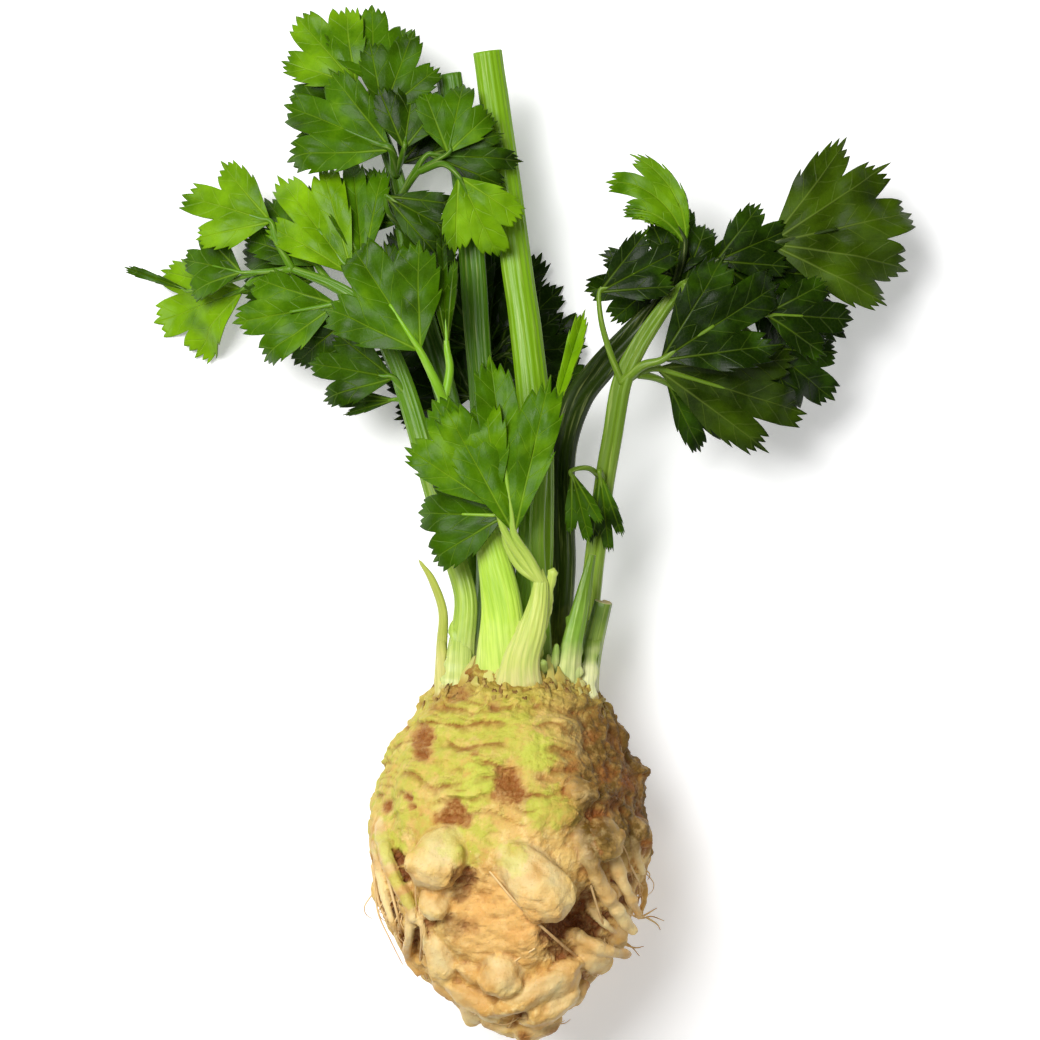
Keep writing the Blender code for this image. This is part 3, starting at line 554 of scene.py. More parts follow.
# Dark places, painted dark brown: soil in the crumbly hollows, and painted shade in the grooves beside the
# big knob and between the thick roots.
DARK_SOIL_AND_SHADE_SPOTS = (
    (-15.5, -4, 5, 0.85), (-17, -10, 4, 0.6), (-41, 1, 3.6, 1), (-39.5, -5, 3.5, 1), (24, -22, 8.5, 1),
    (17, -24, 6, 0.9), (31, -24, 6, 0.9), (20, -33, 5, 0.8), (-20, -23, 5, 0.45), (-47, -20, 7, 0.9),
    (-43, -32, 5, 0.8), (-33, -28, 4, 0.7), (31, 18, 3.5, 0.7), (33, -30, 4, 0.7), (5, -57, 3, 0.7),
    (46, -8, 3.5, 0.7), (40, 22, 4, 0.6), (-30, -22, 3.5, 0.7), (41, -6, 3, 0.9), (30, -13, 4, 0.8),
    (36, -21, 3.5, 0.9), (45, -16, 3, 0.8), (29, 2, 2.5, 0.6), (-41, -12, 3, 0.9), (-46, 0, 2.5, 0.7),
)
CREASED = (-2, -20, 22)  # x, y and radius of the golden creased place between the knobs


def nearness(x, y, spots):
    """How strongly the nearest of the spots reaches this place, with a ragged edge."""
    most = 0.0
    for cx, cy, radius, strength in spots:
        apart = math.hypot(x - cx, y - cy) / radius
        if apart < 1.9:
            edge = 0.45 * noise.noise(Vector((x * 0.3, y * 0.3, cx)))
            apart += edge + 0.25 * noise.noise(Vector((x, y, cx)))
            most = max(most, strength * (1 - ease((apart - 0.5) / 0.8)))
    return most


def around_spots(seed, count, radius, tipmost):
    """Spots for the sides and the under side, as directions and sizes."""
    draw = random.Random(seed)
    spots = []
    while len(spots) < count:
        way = Vector((draw.gauss(0, 1), draw.gauss(0, 1), draw.gauss(0, 1))).normalized()
        if way.z < 0.3 and way.y > tipmost:
            spots.append((way, draw.uniform(*radius) / MEAN_RADIUS))
    return spots


BROWN_AROUND = around_spots(21, 34, (2.5, 6.5), -0.6)
GREEN_AROUND = around_spots(22, 30, (7, 15), 0.0)


def nearness_around(way, spots):
    """The same for the spots on the sides and the under side."""
    most = 0.0
    for spot, size in spots:
        apart = math.sqrt(max(0.0, 2 * (1 - way.dot(spot)))) / size
        if apart < 1.9:
            apart += 0.45 * noise.noise(way * 17)
            most = max(most, 1 - ease((apart - 0.5) / 0.8))
    return most


finger_tree = kdtree.KDTree(len(finger_places))
for i, (place, radius) in enumerate(finger_places):
    finger_tree.insert(place, i)
finger_tree.balance()


def on_knob(place):
    """1 on a knob or a thick root, 0 away from all."""
    nearest = 9.0  # squared, in half sizes of the knob
    for middle, along, side, out, reach in knob_forms:
        off = place - middle
        if off.length_squared < reach * reach:
            nearest = min(nearest, off.dot(along) ** 2 + off.dot(side) ** 2 + off.dot(out) ** 2)
    knob = 1 - ease((math.sqrt(nearest) - 0.98) / 0.2)
    _, i, gap = finger_tree.find(place)
    return max(knob, 1 - ease((gap / finger_places[i][1] - 1.05) / 0.35))


def arcs_at(way, angle, spacing, shift):
    """Leaf scars: arcs round the crown, broken up and warped, steep on the side towards it."""
    warp = 6.0 * noise.noise(way * 2.3 + shift) + 2.6 * noise.noise(way * 6.1 + shift)
    phase = (angle + warp) / spacing % 1.0
    step = phase**1.6 * (1 - ease((phase - 0.84) / 0.16))
    broken = ease(0.55 + 1.5 * noise.noise(way * 4.4 + shift * 2))
    return step, broken


def skin_at(place):
    """The relief in mm, and how green, brown, pale, dark and scarred the skin is."""
    way = (place - ROOT_CENTRE).normalized()
    x, y = place.x, place.y
    angle = math.degrees(math.acos(max(-1.0, min(1.0, way.dot(AXIS)))))
    above = ease((way.z - 0.05) / 0.3)
    knob = on_knob(place)
    body = 1 - knob
    crownward = 1 - ease((angle - 66) / 30)
    crown = 1 - ease((angle - 25) / 14)
    right = ease((x - 14 + 4 * noise.noise(place * 0.08)) / 20)
    right *= ease((y + 12 + 22 * noise.noise(place * 0.05)) / 26)
    coarse = noise.noise(place * 0.09)
    brown = above * nearness(x, y, BROWN_PATCHES) + (1 - above) * nearness_around(way, BROWN_AROUND)
    green = above * nearness(x, y, GREEN_PLACES) + (1 - above) * 0.8 * nearness_around(way, GREEN_AROUND)
    brown *= 1 - (0.7 if y > -45 else 0.25) * knob
    # dark: soil in the crumbly hollows and painted shade in the grooves beside the knobs.
    dark = above * nearness(x, y, DARK_SOIL_AND_SHADE_SPOTS) * body
    creased = above * (1 - ease((math.hypot(x - CREASED[0], y - CREASED[1]) / CREASED[2] - 0.6) / 0.5)) * body
    step, broken = arcs_at(way, angle, 7.2, Vector((3, 0, 0)))
    small_step, small_broken = arcs_at(way, angle, 3.1, Vector((0, 5, 0)))
    near_top = ease((angle - 10) / 8)
    relief = 1.9 * crownward * body * near_top * broken * (step - 0.35)
    relief += (0.55 + 0.6 * crown) * crownward * body * near_top * small_broken * (small_step - 0.35)
    relief += (1.1 + 0.5 * right) * body * noise.noise(place * 0.12)
    relief += (0.75 + 0.7 * right + 0.8 * crown) * body * noise.noise(place * 0.24)
    relief += (0.34 + 0.35 * right + 0.5 * crown) * (1 - 0.6 * knob) * noise.noise(place * 0.55)
    relief += (0.14 + 0.16 * right) * (1 - 0.6 * knob) * noise.noise(place * 1.25)
    relief -= brown * (0.8 + 0.5 * noise.noise(place * 0.9)) * body
    relief -= dark * (2.0 + 1.1 * noise.noise(place * 0.5) + 0.6 * noise.noise(place * 1.1)) * body
    fold = (y * 0.2 + 1.1 * noise.noise(place * 0.07) + 0.12 * noise.noise(place * 0.3)) % 1.0
    relief -= 0.5 * creased * (1 - ease(abs(fold - 0.5) / 0.35)) * ease(0.6 + 1.5 * noise.noise(place * 0.13))
    relief += knob * 0.5 * noise.noise(place * 0.2)
    green = max(green, 0.62 * crownward * (1 - right) * ease(0.65 + coarse))
    green *= (1 - brown) * (1 - 0.75 * right)
    scar = max(broken * (1 - step) ** 3, 0.8 * small_broken * (1 - small_step) ** 3)
    scar *= crownward * body * near_top
    return relief, green, min(1.0, brown), knob, min(1.0, dark), creased, right, crown, scar


SKIN_PLACES = ("green", "brown", "knob", "dark", "creased", "right", "crown", "scar")


def carve(mesh):
    """Moves each corner along its normal by the relief, and keeps the colour places as attributes."""
    kept = {name: [] for name in SKIN_PLACES}
    moved = []
    for vertex in mesh.vertices:
        relief, *places = skin_at(vertex.co / MM)
        moved.append(vertex.co + vertex.normal * relief * MM)
        for name, value in zip(SKIN_PLACES, places):
            kept[name].append(value)
    for vertex, place in zip(mesh.vertices, moved):
        vertex.co = place
        vertex.co.z = max(vertex.co.z, 0.0)
    for name, values in kept.items():
        mesh.attributes.new(name, "FLOAT", "POINT").data.foreach_set("value", values)


def keep_hollows(mesh, rounds=14):
    """Compares the skin with a smoothed copy: what lies under it is a hollow that holds shade and soil."""
    copy = bpy.data.objects.new("smoothed", mesh.copy())
    bpy.context.scene.collection.objects.link(copy)
    soften = copy.modifiers.new("soften", "SMOOTH")
    soften.factor = 0.6
    soften.iterations = rounds
    with_modifiers(copy)
    depth = []
    for vertex, smooth in zip(mesh.vertices, copy.data.vertices):
        depth.append((smooth.co - vertex.co).dot(vertex.normal) / MM)
    bpy.data.objects.remove(copy)
    mesh.attributes.new("hollow", "FLOAT", "POINT").data.foreach_set("value", depth)
    return min(depth), max(depth)


carve(root_mesh)
root_mesh.update()
print("hollows from and to, in mm:", [round(v, 2) for v in keep_hollows(root_mesh)])

# %% [markdown]
# ### Celeriac skin
# The skin is thin cork over pale flesh, washed but not peeled: matt, cream to tan, yellow-green where
# light reached it near the crown, and reddish brown where it is rough or where soil is still held. It
# gives the eye many small changes of colour, darker in every hollow with painted shade. Cork has an IOR
# near 1.45 and is rough, about 0.6, and the smooth knobs shine a little more.

# %% Skin of the root
def celeriac_skin():
    """Washed celeriac cork. Every colour goes over the ones before it, by a share read from the corners."""
    made, tree = new_skin("celeriac_cork_skin_washed")
    place = add(tree, "ShaderNodeTexCoord", out="Object")
    names = (*SKIN_PLACES, "hollow")
    value = {n: add(tree, "ShaderNodeAttribute", out="Fac", attribute_name=n) for n in names}
    wide = add(tree, "ShaderNodeTexNoise", {"Vector": place, "Scale": 1 / (14 * MM), "Detail": 4})
    mid = add(tree, "ShaderNodeTexNoise",
              {"Vector": place, "Scale": 1 / (4 * MM), "Detail": 5, "Roughness": 0.6})
    fine = add(tree, "ShaderNodeTexNoise",
               {"Vector": place, "Scale": 1 / (1.3 * MM), "Detail": 4, "Roughness": 0.7})
    tan_part = add(tree, "ShaderNodeMapRange", {0: wide, 1: 0.38, 2: 0.62})
    tone = add(tree, "ShaderNodeMix", {0: tan_part, 6: colour("#E0BE72"), 7: colour("#CC9C50")}, **COLOURS)
    light_part = add(tree, "ShaderNodeMapRange", {0: mid, 1: 0.5, 2: 0.66})
    tone = add(tree, "ShaderNodeMix", {0: light_part, 6: tone, 7: colour("#EACB86")}, **COLOURS)
    patchy = add(tree, "ShaderNodeMapRange", {0: mid, 1: 0.34, 2: 0.56})
    # The creased place is golden tan.
    part = add(tree, "ShaderNodeMath", {0: value["creased"], 1: 0.55}, operation="MULTIPLY")
    tone = add(tree, "ShaderNodeMix", {0: part, 6: tone, 7: colour("#E2AC62")}, **COLOURS)
    # Where light reached it, yellow-green and then fresh green.
    part = add(tree, "ShaderNodeMapRange", {0: value["green"], 1: 0.1, 2: 0.7})
    part = add(tree, "ShaderNodeMath", {0: part, 1: patchy}, operation="MULTIPLY")
    tone = add(tree, "ShaderNodeMix", {0: part, 6: tone, 7: colour("#BAB044")}, **COLOURS)
    # Knobs are smooth and cream, tan in places.
    cream = add(tree, "ShaderNodeMix", {0: tan_part, 6: colour("#E6D096"), 7: colour("#D4A862")}, **COLOURS)
    part = add(tree, "ShaderNodeMath", {0: value["knob"], 1: 0.85}, operation="MULTIPLY")
    tone = add(tree, "ShaderNodeMix", {0: part, 6: tone, 7: cream}, **COLOURS)
    part = add(tree, "ShaderNodeMapRange", {0: value["green"], 1: 0.4, 2: 1.3, 4: 0.8})
    tone = add(tree, "ShaderNodeMix", {0: part, 6: tone, 7: colour("#C2CC4C")}, **COLOURS)
    # The right side is rough and browner, and this colour also paints in the shade of the side away from the
    # light.
    part = add(tree, "ShaderNodeMath", {0: value["right"], 1: patchy}, operation="MULTIPLY")
    part = add(tree, "ShaderNodeMath", {0: value["right"], 1: part}, operation="ADD")
    part = add(tree, "ShaderNodeMath", {0: part, 1: 0.55}, operation="MULTIPLY")
    tone = add(tree, "ShaderNodeMix", {0: part, 6: tone, 7: colour("#6A4E14")}, **COLOURS)
    # Scars, rough patches and the crown are brown, ragged by the fine noise. The dark places and the hollows
    # are dark brown: soil, and painted shade in the grooves and pits.
    part = add(tree, "ShaderNodeMath", {0: value["scar"], 1: mid}, operation="MULTIPLY")
    part = add(tree, "ShaderNodeMapRange", {0: part, 1: 0.2, 2: 0.5, 4: 0.8})
    tone = add(tree, "ShaderNodeMix", {0: part, 6: tone, 7: colour("#96682A")}, **COLOURS)
    olive = add(tree, "ShaderNodeMix", {0: patchy, 6: colour("#CDBE5A"), 7: colour("#9A7A30")}, **COLOURS)
    part = add(tree, "ShaderNodeMath", {0: value["crown"], 1: 0.95}, operation="MULTIPLY")
    tone = add(tree, "ShaderNodeMix", {0: part, 6: tone, 7: olive}, **COLOURS)
    ragged = add(tree, "ShaderNodeMapRange", {0: fine, 1: 0.3, 2: 0.6, 3: 0.7})
    part = add(tree, "ShaderNodeMath", {0: value["brown"], 1: ragged}, operation="MULTIPLY")
    tone = add(tree, "ShaderNodeMix", {0: part, 6: tone, 7: colour("#8E5218")}, **COLOURS)
    # Dark places: soil, and painted shade beside the knobs.
    part = add(tree, "ShaderNodeMath", {0: value["dark"], 1: ragged}, operation="MULTIPLY")
    part = add(tree, "ShaderNodeMapRange", {0: part, 2: 0.9})
    tone = add(tree, "ShaderNodeMix", {0: part, 6: tone, 7: colour("#643410")}, **COLOURS)
    # The deeper the hollow, the darker the brown: painted shade over the soil it holds.
    part = add(tree, "ShaderNodeMapRange", {0: value["hollow"], 1: 0.08, 2: 0.7, 4: 0.8})
    tone = add(tree, "ShaderNodeMix", {0: part, 6: tone, 7: colour("#8A4E1A")}, **COLOURS)
    part = add(tree, "ShaderNodeMapRange", {0: value["hollow"], 1: 0.6, 2: 1.6, 4: 0.8})
    tone = add(tree, "ShaderNodeMix", {0: part, 6: tone, 7: colour("#3E1E0A")}, **COLOURS)
    speck = add(tree, "ShaderNodeMapRange", {0: fine, 1: 0.58, 2: 0.74, 4: 0.45})
    tone = add(tree, "ShaderNodeMix", {0: speck, 6: tone, 7: colour("#9C6A2A")}, **COLOURS)
    rough = add(tree, "ShaderNodeMapRange", {0: value["knob"], 3: 0.68, 4: 0.46})
    height = add(tree, "ShaderNodeMath", {0: fine, 1: mid}, operation="ADD")
    relief = add(tree, "ShaderNodeBump", {"Strength": 0.7, "Distance": 0.5 * MM, "Height": height})
    skin = add(tree, "ShaderNodeBsdfPrincipled", {
        "Base Color": tone, "Roughness": rough, "IOR": 1.45, "Normal": relief,
        "Specular IOR Level": 0.4,
        "Subsurface Weight": 0.1, "Subsurface Radius": (1.0, 0.7, 0.2), "Subsurface Scale": 1.5 * MM})
    tree.links.new(skin, tree.nodes.new("ShaderNodeOutputMaterial").inputs["Surface"])
    return made


root_skin = celeriac_skin()
plant_piece("celeriac_root_skin", root_mesh, "root_skin", [root_skin], "celeriac_root")
print("root:", len(root_mesh.polygons), "faces, skin of", len(root_skin.node_tree.nodes), "nodes")

# %% [markdown]
# ### Thin roots and hairs
# Between the thick roots run thin ones, from a millimetre down to a hair. They are tapered tubes that lie
# on the skin or hang free at both edges and the tip. One mesh holds them all.

# %% Thin roots and hairs
# x, y and height over the skin along each, and its two end radii.
THREADS = (
    (((-13.6, 6, 0.3), (-6, -2, 0.6), (4, -13.5, 1.2), (17, -26, 1.6), (29.7, -39, 1.2)), 0.35, 0.65),
    (((-52, -4, 0.5), (-50, -20, 1), (-47, -32, 1.5), (-46, -48, 2)), 0.7, 0.3),
    (((-51, -8, 1), (-51, -22, 3), (-48, -34, 5), (-47, -48, 7)), 0.4, 0.15),
    (((-45, -6, 0.5), (-41, -22, 1.5), (-40, -36, 2.0), (-43, -50, 3)), 0.6, 0.25),
    (((-33, -16, 0.5), (-32, -28, 1.5), (-33, -40, 1.5), (-36, -54, 2)), 0.6, 0.25),
    (((-30, 5, 0.5), (-34, -8, 1.0), (-33, -22, 1.0)), 0.4, 0.25),
    (((28, 4, 0.5), (32, -12, 1.2), (36, -24, 2.0), (44, -34, 2.0)), 0.6, 0.25),
    (((34, -4, 0.5), (40, -16, 1.5), (44, -26, 2.0)), 0.5, 0.25),
    (((46, -2, 0.5), (50, -12, 1), (51, -24, 1.5)), 0.5, 0.2),
    (((38, 12, 0.3), (44, 4, 1), (47, -8, 1.5)), 0.4, 0.2),
    (((-12, -58, 1), (-14, -64, 2), (-12, -69, 3)), 0.5, 0.2),
    (((10, -30, 0.3), (2, -36, 1), (-3, -44, 1)), 0.4, 0.2),
)
# Wisps that stand free of the skin at the right edge: x, y and z along each.
WISPS = (
    ((43, -21, 52), (50, -25, 53), (55, -24.5, 52), (60, -26.5, 50)),
    ((51, -24.8, 53), (54.5, -22.5, 54), (57, -21, 54)),
    ((53, -24.8, 52.5), (57, -27.5, 51), (58.5, -30, 50)),
    ((42, -33, 50), (47, -36, 51), (50.5, -40, 50)),
    ((43, -35, 50), (48.5, -36.5, 52), (52, -36, 52)),
)
HAIRS = 190
LOWEST_HAIR = 1  # its height in mm
TIPMOST_HAIR = -69  # its y in mm
WISP_RADII = (0.45, 0.15)


def add_thin_roots():
    """The threads and wisps as listed, and hairs by rule at the sides and the tip, off the bare middle."""
    growth = Growth("tip")
    for route, foot, tip in THREADS:
        add_tube(growth, [over_skin(*point) for point in route], (foot, tip), sides=8, rings=8 * len(route),
                 values=lambda t: {"tip": t})
    for route in WISPS:
        points = [Vector(point) for point in route]
        add_tube(growth, points, WISP_RADII, sides=6, rings=16, values=lambda t: {"tip": t})
    draw = random.Random(31)
    for _ in range(HAIRS):
        way = Vector((draw.gauss(0, 1), draw.uniform(-1.6, -0.15), draw.gauss(0, 1))).normalized()
        skin = root_surface(way)
        bare = way.z > 0.2 and -36 < skin.x < 34 and skin.y > -50
        if skin.z < 6 or bare:
            continue
        flow = Vector((draw.gauss(0, 0.6), -1, draw.gauss(-0.1, 0.5)))
        flow = (flow - way * flow.dot(way)).normalized()
        length = draw.uniform(3, 12)
        lift = draw.uniform(0.1, 0.5)
        route = (skin - way, skin + way * (1 + length * lift * 0.5) + flow * length * 0.4,
                 skin + way * (1 + length * lift * 0.6) + flow * length * 0.75,
                 skin + way * (0.8 + length * lift * 0.3) + flow * length)
        if min(p.z for p in route) < LOWEST_HAIR or min(p.y for p in route) < TIPMOST_HAIR:
            continue
        thick = draw.uniform(0.18, 0.4)
        add_tube(growth, route, (thick, 0.1), sides=5, rings=10, values=lambda t: {"tip": t})
    return growth


def thin_root_bark():
    """Dry root bark: matt and fibrous, cream at the foot and brown at the dry tip."""
    made, tree = new_skin("thin_root_bark_dry")
    place = add(tree, "ShaderNodeTexCoord", out="Object")
    tip = add(tree, "ShaderNodeAttribute", out="Fac", attribute_name="tip")
    blotch = add(tree, "ShaderNodeTexNoise", {"Vector": place, "Scale": 1 / (3 * MM), "Detail": 4})
    mixed = add(tree, "ShaderNodeMath", {0: tip, 1: blotch}, operation="MULTIPLY")
    part = add(tree, "ShaderNodeMapRange", {0: mixed, 1: 0.15, 2: 0.6})
    tone = add(tree, "ShaderNodeMix", {0: part, 6: colour("#E3C388"), 7: colour("#A06A30")}, **COLOURS)
    relief = add(tree, "ShaderNodeBump", {"Strength": 0.5, "Distance": 0.2 * MM, "Height": blotch})
    skin = add(tree, "ShaderNodeBsdfPrincipled", {"Base Color": tone, "Roughness": 0.62, "IOR": 1.45,
                                                 "Normal": relief})
    tree.links.new(skin, tree.nodes.new("ShaderNodeOutputMaterial").inputs["Surface"])
    return made


root_bark = thin_root_bark()
thin_mesh = add_thin_roots().mesh("thin_roots")
thin_roots = plant_piece("thin_roots_and_hairs", thin_mesh, "root_skin", [root_bark])
print("thin roots:", len(thin_roots.data.polygons), "faces")

# %% [markdown]
# ## Stalks and leaves
# Each leaf stalk is named like the solid that it replaces, with the same route. A stalk's route gives x,
# y and z and the stalk's width and thickness there. A leaflet has the route of its own thin stem, the way
# it heads, how its blade is bent, and its tone, which paints light and shade into its green: 0 for a
# deep green leaf in painted shade and 1 for a young, yellow-green one in painted light.

# %% Routes of the stalks and leaflets
class Leaf:
    """A leaflet: the thin stem that carries it, and how its blade is cut, bent and toned."""

    def __init__(self, stem, heading, length, spread=42, pitch=0, curl=30, sweep=0, fold=12, lobes=3, seed=1,
                 tone=0.5, turned=False):
        self.stem, self.heading, self.length, self.spread = stem, heading, length, spread
        self.pitch, self.curl, self.sweep, self.fold = pitch, curl, sweep, fold
        self.lobes, self.seed, self.tone, self.turned = lobes, seed, tone, turned


STALK_ROUTES = {
    "middle_frond": (
        (-1, 60, 61, 20, 9), (-2, 78, 65, 18, 8.5), (-2.5, 96, 66, 15, 8), (-6.5, 117, 66, 11, 7),
        (-12, 137, 66, 8.5, 6), (-18, 155, 67, 7.5, 5.5), (-24, 172, 68, 6, 5)),
    "front_frond": (
        (4, 60, 68, 15, 7), (5, 74, 73, 12.5, 6.5), (9, 86, 75, 10, 6), (11.5, 96, 75.5, 7.5, 5.5),
        (12.5, 104, 76, 5.5, 4.5)),
    "left_frond": (
        (-18, 60, 50, 12, 8), (-18, 76, 52, 10.5, 7.5), (-16, 96, 52, 9, 7), (-20, 112, 50, 9, 6.5),
        (-26, 131, 48, 9, 6.5), (-38, 173, 44, 8.5, 6), (-47, 196, 42, 7, 5), (-57, 211, 41, 5.5, 4.5),
        (-69, 219, 39, 4.5, 4), (-84, 225, 35, 3, 3)),
    "top_frond": (
        (-9, 60, 26, 12, 8), (-10, 80, 27, 12, 8), (-12, 105, 27, 11, 7.5), (-16, 140, 26, 10, 7),
        (-24, 175, 26, 9.5, 6.5), (-34, 210, 27, 9, 6), (-40, 240, 29, 8, 5.5), (-44, 262, 31, 6.5, 5),
        (-51, 282, 33, 5, 4), (-55, 292, 34, 3.5, 3)),
    "right_upper_frond": (
        (14, 60, 26, 14, 9.5), (17, 80, 26, 13.5, 9.5), (20, 105, 26, 12.5, 9), (20, 130, 26, 12, 9),
        (21, 155, 29, 11.5, 9), (27, 174, 33, 11, 8.5), (36, 186, 38, 10.5, 8), (47, 198, 42, 9.5, 7),
        (61, 212, 44, 8, 6), (78, 225, 44, 6, 5), (97, 233, 43, 4, 4)),
    "right_lower_frond": (
        (28, 60, 30, 10, 8), (29, 78, 34, 9.5, 8), (31.5, 96, 38, 8.5, 7.5), (34, 118, 44, 8, 7.5),
        (37, 142, 49, 8, 7), (40, 160, 53, 8, 7), (43.5, 180, 56, 8, 6.5), (50, 194, 58, 7, 6),
        (60, 209, 59, 6, 5), (67, 217, 58, 4, 4)),
    "under_frond": (
        (3, 60, 15, 9, 6), (2, 80, 11, 9, 6), (-2, 110, 6, 8, 6), (-8, 145, 3.2, 7, 5.5),
        (-10, 172, 4.5, 6, 5), (-9, 190, 6.5, 4, 4)),
    "folded_leaf": (
        (13, 60, 54, 7, 5), (13, 80, 56, 7, 5), (12, 100, 57, 6.5, 5), (11, 120, 58, 6, 4.5),
        (12, 140, 58, 5.5, 4), (14.5, 158, 58.5, 4, 3.5)),
    "long_cut_stalk": (
        (7, 60, 44, 15, 10), (8, 80, 45, 15, 10), (10, 105, 44.5, 14, 9.5), (11, 135, 43, 13.5, 9.5),
        (10.5, 165, 41, 13, 9), (7, 200, 38, 12.5, 8.5), (3.5, 225, 36, 12, 8.5),
        (-0.5, 256, 35, 11.8, 8), (-4.5, 284, 36, 11.4, 8), (-8, 309, 38, 11.2, 8)),
    "second_cut_stalk": (
        (-9, 60, 41, 14, 9), (-8, 80, 42, 14, 9), (-6.5, 105, 41, 13, 8.5), (-7, 135, 39, 12, 8),
        (-9, 165, 38, 11.5, 8), (-12, 200, 37, 11, 7.5), (-14, 230, 37, 11, 7.5),
        (-17, 260, 37, 10.8, 7.5), (-23, 300, 39, 10.8, 7.5)),
    "short_cut_stub": ((29, 60, 42, 9, 8), (32, 77, 46, 8, 7.5), (36.5, 96, 50, 7, 7)),
    "thin_side_stalk": (
        (-26, 60, 43, 4.5, 4), (-25.5, 78, 46, 4, 4), (-25, 92, 47, 3.6, 3.6), (-29, 104, 48, 3, 3),
        (-33.5, 111, 48.5, 1.4, 1.4)),
    "young_stalk": ((22.5, 60, 58, 9, 6), (24, 78, 61, 8, 6), (28, 96, 61, 6.5, 5), (32, 114, 60, 3, 3)),
    "under_stub": ((18, 60, 16, 8, 5.5), (19, 76, 13, 8, 5.5), (21, 92, 10.5, 7.5, 5.5)),
}
